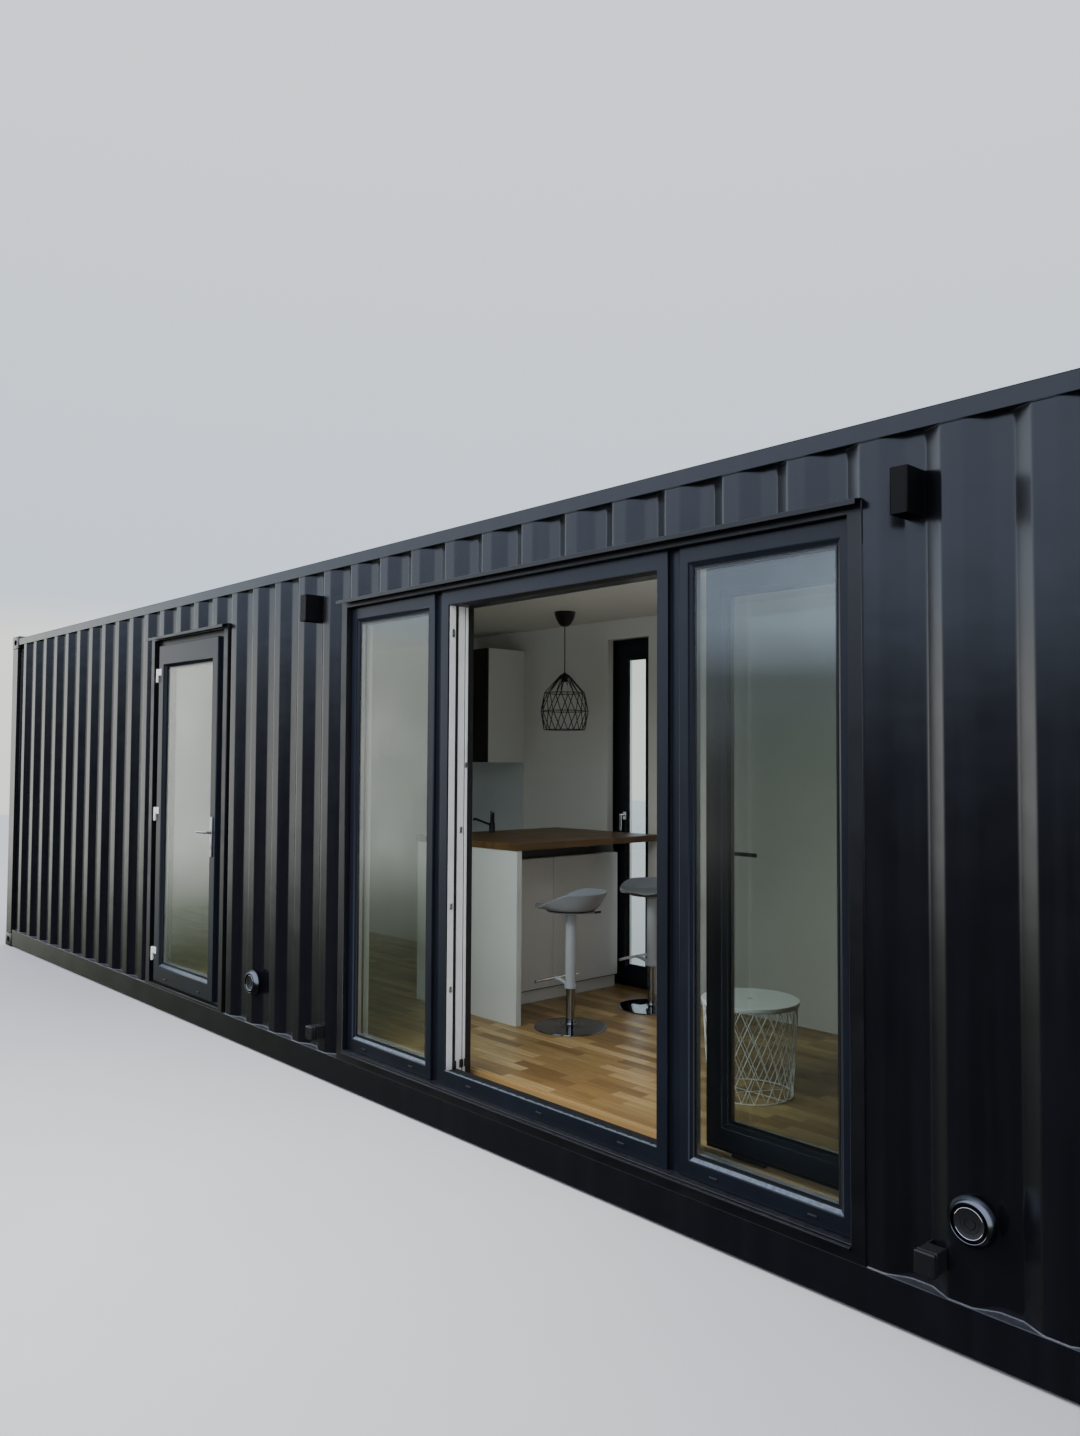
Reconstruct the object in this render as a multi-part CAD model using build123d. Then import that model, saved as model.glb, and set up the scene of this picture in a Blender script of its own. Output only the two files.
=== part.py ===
from build123d import *
import os

# Shipping container cabin, in millimetres.
# X runs along the long side, the glazed front faces -Y and Z is up.
# The origin is on the ground, under the middle of the whole outline.

# Container
length = 12192
width = 2438
height = 2896
casting_length = 178
casting_width = 162
casting_height = 118
casting_wall = 28
casting_inset = 4
side_hole_length = 79
end_hole_length = 71
hole_width = 51
foot_hole_length = 124
foot_hole_width = 63
post_width = 150
post_recess = 36
post_plate = 6
rail_lift = 12
bottom_rail_height = 144
bottom_rail_flange = 48
bottom_rail_plate = 5
top_rail_size = 60
top_rail_wall = 4
top_rail_drop = 26
end_rail_depth = 60

# Corrugated steel
sheet = 2
wave_pitch = 278
outer_flat = 72
inner_flat = 70
wave_depth = 36
wave_start = 327
sheet_inset = 6
roof_pitch = 209
roof_flat = 70
roof_depth = 16

# Floor and inner faces
floor_height = 211
oak_thickness = 15
deck_thickness = 28
member_height = 122
member_flange = 45
member_plate = 5
member_pitch = 610
wall_thickness = 165
end_wall_thickness = 200
ceiling_drop = 156
ceiling_thickness = 100

# Openings, from the left end of the container
door_left = 3264
door_width = 1192
door_foot = 20
door_head = 24
glazing_left = 5808
glazing_width = 3145
glazing_foot = 54
glazing_head = 42
surround_face = 54
surround_drop = 275
surround_depth = 110
sill_nose = 10
back_window_left = 5586
back_window_width = 488
back_window_drop = 237
window_handle_height = 1375
window_handle_length = 105
window_handle_width = 28
window_handle_stand = 52
window_handle_grip = 16

# Plastic window frames
frame_recess = 33
frame_depth = 70
fixed_width = 743
coupler_width = 56
coupler_recess = 20
fixed_member = 78
sliding_member = 55
sliding_head = 70
jamb_reach = 190
jamb_head = 20
bead_slope = 16
door_member = 100
door_frame_head = 62
door_frame_foot = 35
back_member = 120
back_rail = 140
back_frame_recess = 6
pane_thickness = 28
pane_setback = 24

# Drip ledges
ledge_reach = 40
ledge_plate = 5
ledge_fall = 8
ledge_lip = 14

# Entrance leaf
lap = 20
leaf_thickness = 70
lip_thickness = 28
leaf_gap = 12
door_stile = 92
door_bottom_rail = 124
door_top_rail = 152
hinge_from_foot = 189
hinge_from_head = 210
hinge_radius = 8
hinge_barrel = 48
hinge_offset = 8
hinge_gap = 0.3
hinge_plate = 4
hinge_wing = 44
handle_height = 1281
plate_above = 100
plate_below = 160
plate_width = 30
plate_thickness = 9
lever_stand = 48
lever_length = 125
lever_radius = 9

# Sliding leaf, shown slid open behind the right light
slide_travel = 1430
slide_clearance = 30
sliding_stile = 120
slide_handle_height = 1397
track_width = 40
track_height = 35
track_wall = 4
track_overrun = 30
carriage_length = 150
carriage_gap = 0.3
guide_height = 40
guide_drop = 8

# Lamps, inlets and socket boxes
lamp_width = 60
lamp_depth = 107
lamp_height = 150
lamp_drop = 86
lamp_opening = 44
lamp_recess = 24
lamp_places = (5506, 9120)
inlet_radius = 75
inlet_depth = 30
inlet_height = 410
inlet_ring = 18
inlet_gap = 12
inlet_back = 4
inlet_places = (4862, 9300)
socket_width = 62
socket_depth = 115
socket_height = 68
socket_foot = 235
socket_lid = 16
socket_lip = 3
socket_places = (5640, 9186)

# Furniture
bar_left = 5140
bar_front = 1014
bar_depth = 600
bar_overhang = 375
bar_height = 1228
end_panel_thickness = 40
plinth_height = 82
plinth_setback = 50
grip_height = 45
grip_depth = 40
worktop_thickness = 40
worktop_lap = 10
cabinet_right = 4760
cabinet_width = 600
cabinet_depth = 370
cabinet_drop = 150
cabinet_height = 850
tap_place = (5226, 1571)
tap_height = 143
tap_radius = 12
spout_height = 46
spout_rise = 40
spout_reach = 205
spout_radius = 8
pendant_place = (5751, 1746)
cup_radius = 70
cup_height = 97
cup_taper = 18
flex_radius = 4
holder_radius = 22
holder_height = 60
bulb_radius = 28
bulb_height = 74
shade_drop = 407
shade_height = 372
shade_radius = 158
shade_levels = ((0.03, 0.17), (0.35, 0.84), (0.67, 1), (1, 0.86))
shade_sides = 10
wire = 5
stool_places = ((6325, 1252, 25), (6310, 1980, 60))
stool_base_radius = 214
stool_base_thickness = 14
stool_seat_radius = 205
stool_seat_height = 645
stool_seat_plate = 12
stool_lip = 90
stool_lip_start = 0.25
stool_column_radius = 30
stool_lift_radius = 25
stool_lift_height = 216
foot_rest_height = 265
foot_rest_reach = 125
foot_rest_width = 250
foot_rest_size = 16
table_place = (7747, 1043)
table_height = 437
table_radius = 228
table_foot_radius = 198
lid_thickness = 18
table_sides = 12
round_sides = 24
rod_sides = 12
small_sides = 8

# Outline and the planes that pieces share
left = -length / 2
right = length / 2
front = (lamp_depth - wave_depth - sheet_inset - ledge_reach - width) / 2
back = front + width
rail_top = rail_lift + bottom_rail_height
top_rail_foot = height - top_rail_drop - top_rail_size
top_rail_head = height - top_rail_drop
sheet_face = front + sheet_inset
sheet_back = sheet_face + wave_depth + sheet
inner_front = front + wall_thickness
inner_back = back - wall_thickness
inner_left = left + end_wall_thickness
inner_right = right - end_wall_thickness
deck_top = rail_top
ceiling_height = height - ceiling_drop
surround_top = height - surround_drop
back_window_top = height - back_window_drop
shade_top = ceiling_height - shade_drop
frame_face = front + frame_recess
frame_back = frame_face + frame_depth
surround_back = front + surround_depth
ceiling_top = ceiling_height + ceiling_thickness


def slab(x0, x1, y0, y1, z0, z1):
    """A rectangular block between six planes."""
    return Pos((x0 + x1) / 2, (y0 + y1) / 2, (z0 + z1) / 2) * Box(x1 - x0, y1 - y0, z1 - z0)


def ring(x0, x1, y0, y1, z0, z1, side, head, foot):
    """An upright rectangular frame with an opening through it."""
    opening = slab(x0 + side, x1 - side, y0 - 1, y1 + 1, z0 + foot, z1 - head)
    return slab(x0, x1, y0, y1, z0, z1) - opening


def glazed_ring(x0, x1, y0, y1, z0, z1, side, head, foot, pane_y0):
    """An upright frame whose opening flares from the pane out to both faces, as glazing beads do."""
    ax0, ax1, az0, az1 = x0 + side, x1 - side, z0 + foot, z1 - head
    pane_y1 = pane_y0 + pane_thickness
    body = slab(x0, x1, y0, y1, z0, z1)
    body -= slab(ax0, ax1, pane_y0, pane_y1, az0, az1)
    for near, far in ((pane_y0, y0), (pane_y1, y1)):
        grow = min(bead_slope, abs(far - near))
        tight = Pos((ax0 + ax1) / 2, near, (az0 + az1) / 2) * Rot(90, 0, 0) * Rectangle(ax1 - ax0, az1 - az0)
        wide = Pos((ax0 + ax1) / 2, far, (az0 + az1) / 2) * Rot(90, 0, 0) * Rectangle(
            ax1 - ax0 + 2 * grow, az1 - az0 + 2 * grow)
        body -= loft([tight.face(), wide.face()])
    return body


def rod(x, y, z, radius, tall, sides=rod_sides):
    """An upright bar of even section standing at height z."""
    return Pos(x, y, z) * extrude(RegularPolygon(radius, sides), tall, dir=(0, 0, 1))


def across_rod(x, y, z, radius, long, sides=rod_sides):
    """A bar of even section that lies along Y and starts at y."""
    section = Plane(origin=(x, y, z), x_dir=(1, 0, 0), z_dir=(0, 1, 0)) * RegularPolygon(radius, sides)
    return extrude(section, long)


def bar(start, end, radius, sides=4):
    """A straight bar of even section between two points."""
    run = Vector(*end) - Vector(*start)
    section = Plane(origin=start, z_dir=run) * RegularPolygon(radius, sides)
    return extrude(section, run.length, dir=run)


def mirror_back(shape):
    """The same shape on the other long side of the container."""
    return shape.mirror(Plane.XZ.offset(-(front + back) / 2))


def wave_line(start, end, first, pitch, crest, trough, depth):
    """Points along one face of a corrugated sheet, as pairs of distance and depth."""
    slope = (pitch - crest - trough) / 2
    corners = ((0, 0), (crest, 0), (crest + slope, depth), (crest + slope + trough, depth))

    def depth_at(place):
        along = (place - first) % pitch
        if along <= crest:
            return 0
        if along <= crest + slope:
            return depth * (along - crest) / slope
        if along <= crest + slope + trough:
            return depth
        return depth * (pitch - along) / slope

    points = [(start, depth_at(start))]
    turn = first + pitch * ((start - first) // pitch)
    while turn < end:
        for along, deep in corners:
            if start < turn + along < end:
                points.append((turn + along, deep))
        turn += pitch
    points.append((end, depth_at(end)))
    return points


def front_sheet(x0, x1, z0, z1):
    """A stretch of the corrugated front wall."""
    line = wave_line(x0, x1, left + wave_start, wave_pitch, outer_flat, inner_flat, wave_depth)
    outer = [(x, sheet_face + deep) for x, deep in line]
    inner = [(x, y + sheet) for x, y in reversed(outer)]
    face = make_face(Polyline(*outer, *inner, close=True))
    return Pos(0, 0, z0) * extrude(face, z1 - z0, dir=(0, 0, 1))


def end_sheet(y0, y1, z0, z1):
    """The corrugated left end wall."""
    line = wave_line(y0, y1, y0 + inner_flat, wave_pitch, outer_flat, inner_flat, wave_depth)
    outer = [(left + sheet_inset + deep, y) for y, deep in line]
    inner = [(x + sheet, y) for x, y in reversed(outer)]
    face = make_face(Polyline(*outer, *inner, close=True))
    return Pos(0, 0, z0) * extrude(face, z1 - z0, dir=(0, 0, 1))


def roof_sheet():
    """The roof, whose shallow troughs run from rail to rail under flat edges."""
    start = left + casting_length
    end = right - casting_length
    waves = round((end - start - roof_flat) / roof_pitch)
    pitch = (end - start - roof_flat) / waves
    line = wave_line(start, end, start, pitch, roof_flat, roof_flat, roof_depth)
    lower = [(x, top_rail_head - deep) for x, deep in line]
    upper = [(x, z + sheet) for x, z in reversed(lower)]
    face = Plane.XZ * make_face(Polyline(*lower, *upper, close=True))
    edge = casting_inset + top_rail_size
    roof = Pos(0, back - edge, 0) * extrude(face, width - 2 * edge, dir=(0, -1, 0))
    strip = slab(start, end, front + casting_inset, front + edge, top_rail_head, top_rail_head + sheet)
    end_plate = slab(left + casting_inset, start, front + casting_width, back - casting_width,
                     top_rail_head, top_rail_head + sheet)
    return roof + strip + mirror_back(strip) + end_plate + end_plate.mirror(Plane.YZ)


def casting_hole(long, wide, corner):
    """A casting hole with its corners cut off, as a sketch in the plane of the face."""
    return chamfer(Rectangle(long, wide).vertices(), corner)


def casting():
    """The bottom casting at the front left corner."""
    body = slab(left, left + casting_length, front, front + casting_width, 0, casting_height)
    core = slab(left + casting_wall, left + casting_length - casting_wall, front + casting_wall,
                front + casting_width - casting_wall, casting_wall, casting_height - casting_wall)
    middle = (left + casting_length / 2, front + casting_width / 2, casting_height / 2)
    through = casting_wall + 2
    corner = hole_width * 0.3
    side_hole = Pos(middle[0], front, middle[2]) * Rot(90, 0, 0) * extrude(
        casting_hole(side_hole_length, hole_width, corner), through, both=True)
    end_hole = Pos(left, middle[1], middle[2]) * Rot(0, 90, 0) * extrude(
        casting_hole(hole_width, end_hole_length, corner), through, both=True)
    foot_hole = Pos(middle[0], middle[1], 0) * extrude(
        casting_hole(foot_hole_length, foot_hole_width, corner), through, both=True)
    return body - core - side_hole - end_hole - foot_hole


def four_corners(shape):
    """The shape at all four corners of the plan."""
    at_left = [shape, mirror_back(shape)]
    return at_left + [one.mirror(Plane.YZ) for one in at_left]


def corner_castings():
    bottom = casting()
    top = bottom.mirror(Plane.XY.offset(height / 2))
    return four_corners(bottom) + four_corners(top)


def corner_posts():
    deep = casting_width - casting_inset
    outline = Polyline(
        (left + casting_inset, front + casting_inset),
        (left + post_width, front + casting_inset),
        (left + post_width, front + casting_inset + post_recess),
        (left + casting_length, front + casting_inset + post_recess),
        (left + casting_length, front + deep),
        (left + casting_inset, front + deep),
        close=True)
    section = make_face(outline)
    section -= offset(section, -post_plate, kind=Kind.INTERSECTION)
    tall = height - 2 * casting_height
    return four_corners(Pos(0, 0, casting_height) * extrude(section, tall, dir=(0, 0, 1)))


def bottom_side_rails():
    x0, x1 = left + casting_length, right - casting_length
    y0 = front + casting_inset
    rail = slab(x0, x1, y0, y0 + bottom_rail_flange, rail_lift, rail_top)
    hollow = slab(x0 - 1, x1 + 1, y0 + bottom_rail_plate, y0 + bottom_rail_flange + 1,
                  rail_lift + bottom_rail_plate, rail_top - bottom_rail_plate)
    rail -= hollow
    return [rail, mirror_back(rail)]


def top_side_rails():
    x0, x1 = left + casting_length, right - casting_length
    y0 = front + casting_inset
    rail = slab(x0, x1, y0, y0 + top_rail_size, top_rail_foot, top_rail_head)
    rail -= slab(x0 - 1, x1 + 1, y0 + top_rail_wall, y0 + top_rail_size - top_rail_wall,
                 top_rail_foot + top_rail_wall, top_rail_head - top_rail_wall)
    return [rail, mirror_back(rail)]


def end_rails():
    x0 = left + casting_inset
    y0, y1 = front + casting_width, back - casting_width
    sill = slab(x0, x0 + end_rail_depth, y0, y1, rail_lift, rail_top)
    header = slab(x0, x0 + end_rail_depth, y0, y1, top_rail_foot, top_rail_head)
    return [sill, header, sill.mirror(Plane.YZ), header.mirror(Plane.YZ)]


def cross_members():
    y0 = front + casting_inset + bottom_rail_flange
    y1 = back - casting_inset - bottom_rail_flange
    z1 = deck_top - deck_thickness
    z0 = z1 - member_height
    span = length - 2 * casting_length
    count = int(span // member_pitch)
    start = -(count - 1) * member_pitch / 2
    member = slab(0, member_flange, y0, y1, z0, z1)
    member -= slab(member_plate, member_flange + 1, y0 - 1, y1 + 1, z0 + member_plate, z1 - member_plate)
    return [Pos(start + member_pitch * k, 0, 0) * member for k in range(count)]


def floor_deck():
    y0 = front + casting_inset + bottom_rail_flange
    y1 = back - casting_inset - bottom_rail_flange
    z0 = deck_top - deck_thickness
    deck = slab(left + casting_length, right - casting_length, y0, y1, z0, deck_top)
    sill_back = left + casting_inset + end_rail_depth
    end_board = slab(sill_back, left + casting_length, front + casting_width, back - casting_width, z0, deck_top)
    return deck + end_board + end_board.mirror(Plane.YZ)


# Places of the openings along the front and back
door_x0 = left + door_left
door_x1 = door_x0 + door_width
glazing_x0 = left + glazing_left
glazing_x1 = glazing_x0 + glazing_width
window_x0 = left + back_window_left
window_x1 = window_x0 + back_window_width
wall_x0 = left + casting_length
wall_x1 = right - casting_length
door_in_x0 = door_x0 + surround_face
door_in_x1 = door_x1 - surround_face
door_in_foot = rail_top + door_foot
door_in_head = surround_top - door_head
glazing_in_x0 = glazing_x0 + surround_face
glazing_in_x1 = glazing_x1 - surround_face
glazing_in_foot = rail_top + glazing_foot
glazing_in_head = surround_top - glazing_head
window_in_x0 = window_x0 + surround_face
window_in_x1 = window_x1 - surround_face
window_in_foot = rail_top + glazing_foot
window_in_head = back_window_top - surround_face


def floor_layer(z0, z1):
    """A layer of the floor, with a tongue into each opening that reaches the floor."""
    floor = slab(inner_left, inner_right, inner_front, inner_back, z0, z1)
    floor += slab(door_in_x0, door_in_x1, surround_back, inner_front, z0, z1)
    floor += slab(glazing_in_x0, glazing_in_x1, surround_back, inner_front, z0, z1)
    floor += slab(window_in_x0, window_in_x1, inner_back, back - surround_depth, z0, z1)
    return floor


def end_walls():
    wall = end_sheet(front + casting_width, back - casting_width, rail_top, top_rail_foot)
    return [wall, wall.mirror(Plane.YZ)]


def front_wall_headers():
    foot = surround_top + ledge_plate
    return [front_sheet(door_x0, door_x1, foot, top_rail_foot),
            front_sheet(glazing_x0, glazing_x1, foot, top_rail_foot)]


def back_sheet(x0, x1, z0, z1):
    return mirror_back(front_sheet(x0, x1, z0, z1))


def front_lining_walls():
    z0, z1 = deck_top, ceiling_height
    return [slab(wall_x0, door_x0, sheet_back, inner_front, z0, z1),
            slab(door_x1, glazing_x0, sheet_back, inner_front, z0, z1),
            slab(glazing_x1, wall_x1, sheet_back, inner_front, z0, z1)]


def front_lining_headers():
    z0, z1 = surround_top, ceiling_height
    return [slab(door_x0, door_x1, sheet_back, inner_front, z0 + ledge_plate, z1),
            slab(glazing_x0, glazing_x1, sheet_back, inner_front, z0 + ledge_plate, z1)]


def back_lining_walls():
    z0, z1 = deck_top, ceiling_height
    y1 = back - sheet_inset - wave_depth - sheet
    return [slab(wall_x0, window_x0, inner_back, y1, z0, z1),
            slab(window_x1, wall_x1, inner_back, y1, z0, z1)]


def back_lining_header():
    y1 = back - sheet_inset - wave_depth - sheet
    return slab(window_x0, window_x1, inner_back, y1, back_window_top + ledge_plate, ceiling_height)


def end_linings():
    x0 = left + sheet_inset + wave_depth + sheet
    lining = slab(x0, inner_left, inner_front, inner_back, deck_top, ceiling_height)
    return [lining, lining.mirror(Plane.YZ)]


def ceiling_lining():
    edge = casting_inset + top_rail_size
    return slab(wall_x0, wall_x1, front + edge, back - edge, ceiling_height, ceiling_top)


def sill(x0, x1, z):
    """A sloping nose along the foot of an opening, which throws water clear of the wall."""
    section = Polyline((front - sill_nose, z - sill_nose), (frame_face, z), (frame_face, z - sill_nose),
                       (front - sill_nose, z - 2 * sill_nose), close=True)
    outline = Plane.YZ * make_face(section)
    return Pos(x0, 0, 0) * extrude(outline, x1 - x0, dir=(1, 0, 0))


def door_surround():
    return ring(door_x0, door_x1, front, surround_back, rail_top, surround_top,
                surround_face, door_head, door_foot)


def glazing_surround():
    frame = ring(glazing_x0, glazing_x1, front, surround_back, rail_top, surround_top,
                 surround_face, glazing_head, glazing_foot)
    return frame + sill(glazing_in_x0, glazing_in_x1, glazing_in_foot)


def back_window_surround():
    return ring(window_x0, window_x1, back - surround_depth, back, rail_top, back_window_top,
                surround_face, surround_face, glazing_foot)


def ledge(x0, x1, z):
    """A folded plate that sheds rain over an opening."""
    tip = front - ledge_reach
    section = Polyline(
        (sheet_back, z), (sheet_back, z + ledge_plate), (front, z + ledge_plate),
        (tip, z + ledge_plate - ledge_fall), (tip, z - ledge_fall - ledge_lip),
        (tip + ledge_plate, z - ledge_fall - ledge_lip), (tip + ledge_plate, z - ledge_fall), (front, z),
        close=True)
    outline = Plane.YZ * make_face(section)
    return Pos(x0, 0, 0) * extrude(outline, x1 - x0, dir=(1, 0, 0))


def drip_ledges():
    over_window = mirror_back(ledge(window_x0, window_x1, back_window_top))
    return [ledge(door_x0, door_x1, surround_top), ledge(glazing_x0, glazing_x1, surround_top), over_window]


def reveal_jambs():
    y0, y1 = surround_back, inner_front
    y2, y3 = inner_back, back - surround_depth
    z0 = deck_top
    return [slab(door_x0, door_in_x0, y0, y1, z0, door_in_head),
            slab(door_in_x1, door_x1, y0, y1, z0, door_in_head),
            slab(glazing_x0, glazing_in_x0, y0, y1, z0, glazing_in_head),
            slab(glazing_in_x1, glazing_x1, y0, y1, z0, glazing_in_head),
            slab(window_x0, window_in_x0, y2, y3, z0, window_in_head),
            slab(window_in_x1, window_x1, y2, y3, z0, window_in_head)]


def reveal_heads():
    y0, y1 = surround_back, inner_front
    return [slab(door_x0, door_x1, y0, y1, door_in_head, surround_top + ledge_plate),
            slab(glazing_x0, glazing_x1, y0, y1, glazing_in_head, surround_top + ledge_plate),
            slab(window_x0, window_x1, inner_back, back - surround_depth,
                 window_in_head, back_window_top + ledge_plate)]


def door_frame():
    return ring(door_in_x0, door_in_x1, frame_face, frame_back, door_in_foot, door_in_head,
                door_member, door_frame_head, door_frame_foot)


fixed_left_x1 = glazing_in_x0 + fixed_width
sliding_x0 = fixed_left_x1 + coupler_width
fixed_right_x0 = glazing_in_x1 - fixed_width
sliding_x1 = fixed_right_x0 - coupler_width
sliding_foot = glazing_in_foot + sliding_head
sliding_top = glazing_in_head - sliding_head


def light_frame(x0):
    return glazed_ring(x0, x0 + fixed_width, frame_face, frame_back, glazing_in_foot, glazing_in_head,
                       fixed_member, fixed_member, fixed_member, frame_face + pane_setback)


def sliding_frame():
    """The frame round the sliding leaf, whose jambs reach into the room as far as the leaf."""
    frame = ring(sliding_x0, sliding_x1, frame_face, frame_back, glazing_in_foot, glazing_in_head,
                 sliding_member, sliding_head, sliding_head)
    y1 = front + jamb_reach
    z0, z1 = floor_height, sliding_top + jamb_head
    frame += slab(sliding_x0, sliding_x0 + sliding_member, frame_back, y1, z0, z1)
    frame += slab(sliding_x1 - sliding_member, sliding_x1, frame_back, y1, z0, z1)
    return frame + slab(sliding_x0, sliding_x1, frame_back, y1, sliding_top, z1)


def frame_couplers():
    y0 = frame_face + coupler_recess
    return [slab(fixed_left_x1, sliding_x0, y0, frame_back, glazing_in_foot, glazing_in_head),
            slab(sliding_x1, fixed_right_x0, y0, frame_back, glazing_in_foot, glazing_in_head)]


def back_window_frame():
    y1 = back - back_frame_recess
    return glazed_ring(window_in_x0, window_in_x1, y1 - frame_depth, y1, window_in_foot, window_in_head,
                       back_member, back_rail, back_rail, y1 - pane_setback - pane_thickness)


def pane(x0, x1, y0, z0, z1):
    return slab(x0, x1, y0, y0 + pane_thickness, z0, z1)


def fixed_panes():
    y0 = frame_face + pane_setback
    z0 = glazing_in_foot + fixed_member
    z1 = glazing_in_head - fixed_member
    back_y0 = back - back_frame_recess - pane_setback - pane_thickness
    return [pane(glazing_in_x0 + fixed_member, fixed_left_x1 - fixed_member, y0, z0, z1),
            pane(fixed_right_x0 + fixed_member, glazing_in_x1 - fixed_member, y0, z0, z1),
            pane(window_in_x0 + back_member, window_in_x1 - back_member, back_y0,
                 window_in_foot + back_rail, window_in_head - back_rail)]


# Entrance leaf, planted on its frame
leaf_x0 = door_in_x0 + door_member - lap
leaf_x1 = door_in_x1 - door_member + lap
leaf_foot = door_in_foot + lap
leaf_head = door_in_head - door_frame_head + lap
leaf_face = front
hinge_x = leaf_x0 - hinge_offset
hinge_y = leaf_face - hinge_offset


def entrance_leaf():
    lip = slab(leaf_x0, leaf_x1, leaf_face, leaf_face + lip_thickness, leaf_foot, leaf_head)
    inset = lap + leaf_gap
    body = glazed_ring(leaf_x0 + inset, leaf_x1 - inset, leaf_face, leaf_face + leaf_thickness,
                       leaf_foot + inset, leaf_head - inset, door_stile - inset,
                       door_top_rail - inset, door_bottom_rail - inset, leaf_face + pane_setback)
    inner = slab(leaf_x0 + inset, leaf_x1 - inset, leaf_face, leaf_face + leaf_thickness,
                 leaf_foot + inset, leaf_head - inset)
    return body + (lip - inner)


def entrance_glass():
    return pane(leaf_x0 + door_stile, leaf_x1 - door_stile, leaf_face + pane_setback,
                leaf_foot + door_bottom_rail, leaf_head - door_top_rail)


def hinge_heights():
    """The middles of the three hinges, the middle one half way between the others."""
    low = leaf_foot + hinge_from_foot
    high = leaf_head - hinge_from_head
    return (low, (low + high) / 2, high)


def entrance_hinges():
    """The half of each hinge that is screwed to the leaf."""
    halves = []
    for z in hinge_heights():
        half = rod(hinge_x, hinge_y, z + hinge_gap, hinge_radius, hinge_barrel)
        half += slab(hinge_x, hinge_x + hinge_wing, leaf_face - hinge_plate, leaf_face,
                     z + hinge_gap, z + hinge_gap + hinge_barrel)
        halves.append(half)
    return halves


def frame_hinges():
    """The half of each hinge that is screwed to the door frame."""
    halves = []
    for z in hinge_heights():
        z0 = z - hinge_barrel
        half = rod(hinge_x, hinge_y, z0, hinge_radius, hinge_barrel)
        half += slab(hinge_x - hinge_radius - hinge_plate, hinge_x - hinge_plate, hinge_y, frame_face, z0, z)
        half += slab(hinge_x - hinge_wing, hinge_x - hinge_plate, frame_face - hinge_plate, frame_face, z0, z)
        halves.append(half)
    return halves


def lever(x, face, z, out, reach):
    """A long plate with a neck and a lever; out is -1 or +1 along Y, reach is along X."""
    plate_z = z + (plate_above - plate_below) / 2
    half = (plate_above + plate_below) / 2
    y0, y1 = sorted((face, face + out * plate_thickness))
    body = slab(x - plate_width / 2, x + plate_width / 2, y0, y1, plate_z - half, plate_z + half)
    stand = face + out * lever_stand
    neck = bar((x, face, z), (x, stand + out * lever_radius, z), lever_radius, small_sides)
    grip = bar((x - reach * lever_radius, stand, z), (x + reach * lever_length, stand, z), lever_radius, small_sides)
    return body + neck + grip


def entrance_handle():
    x = leaf_x1 - door_stile / 2
    return [lever(x, leaf_face, handle_height, -1, -1),
            lever(x, leaf_face + leaf_thickness, handle_height, 1, -1)]


# Sliding leaf, parallel to the wall and inside it
slide_y0 = inner_front + slide_clearance
slide_y1 = slide_y0 + leaf_thickness
slide_width = sliding_x1 - sliding_x0 - 2 * sliding_member + 2 * lap
slide_x0 = sliding_x0 + sliding_member - lap + slide_travel
slide_x1 = slide_x0 + slide_width
slide_foot = sliding_foot - lap
slide_head = sliding_top + lap
track_y0 = slide_y1 - lip_thickness / 2 - track_width / 2
track_x0 = sliding_x0 - track_overrun
track_x1 = slide_x1 + track_overrun
track_top = floor_height + track_height


def sliding_leaf():
    """The leaf laps its frame on the room side and is narrower where it enters the frame."""
    inset = lap + leaf_gap
    member = sliding_stile - inset
    body = glazed_ring(slide_x0 + inset, slide_x1 - inset, slide_y0, slide_y1, slide_foot + inset,
                       slide_head - inset, member, member, member, slide_y0 + pane_setback)
    lip = slab(slide_x0, slide_x1, slide_y1 - lip_thickness, slide_y1, slide_foot, slide_head)
    inner = slab(slide_x0 + inset, slide_x1 - inset, slide_y0, slide_y1, slide_foot + inset, slide_head - inset)
    return body + (lip - inner)


def sliding_glass():
    return pane(slide_x0 + sliding_stile, slide_x1 - sliding_stile, slide_y0 + pane_setback,
                slide_foot + sliding_stile, slide_head - sliding_stile)


def sliding_handle():
    return lever(slide_x0 + sliding_stile / 2, slide_y1, slide_handle_height, 1, 1)


def sliding_carriages():
    z0 = track_top + carriage_gap
    near = slab(slide_x0 + sliding_stile, slide_x0 + sliding_stile + carriage_length,
                slide_y1 - lip_thickness, slide_y1, z0, slide_foot)
    far = slab(slide_x1 - sliding_stile - carriage_length, slide_x1 - sliding_stile,
               slide_y1 - lip_thickness, slide_y1, z0, slide_foot)
    return [near, far]


def slide_track():
    """A low aluminium section whose rib carries the rollers."""
    y0, y1 = track_y0, track_y0 + track_width
    middle = (y0 + y1) / 2
    low = track_top - track_wall
    section = Polyline(
        (y0, floor_height), (y1, floor_height), (y1, low), (middle + track_wall, low),
        (middle + track_wall, track_top), (middle - track_wall, track_top),
        (middle - track_wall, low), (y0, low), close=True)
    outline = Plane.YZ * make_face(section)
    return Pos(track_x0, 0, 0) * extrude(outline, track_x1 - track_x0, dir=(1, 0, 0))


def slide_guide():
    z0 = slide_head + guide_drop
    y1 = track_y0 + track_width
    guide = slab(track_x0, track_x1, inner_front, y1, z0, z0 + guide_height)
    groove = slab(track_x0 - 1, track_x1 + 1, y1 - track_width + track_wall, y1 - track_wall,
                  z0 - 1, z0 + guide_height - track_wall)
    return guide - groove


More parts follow.
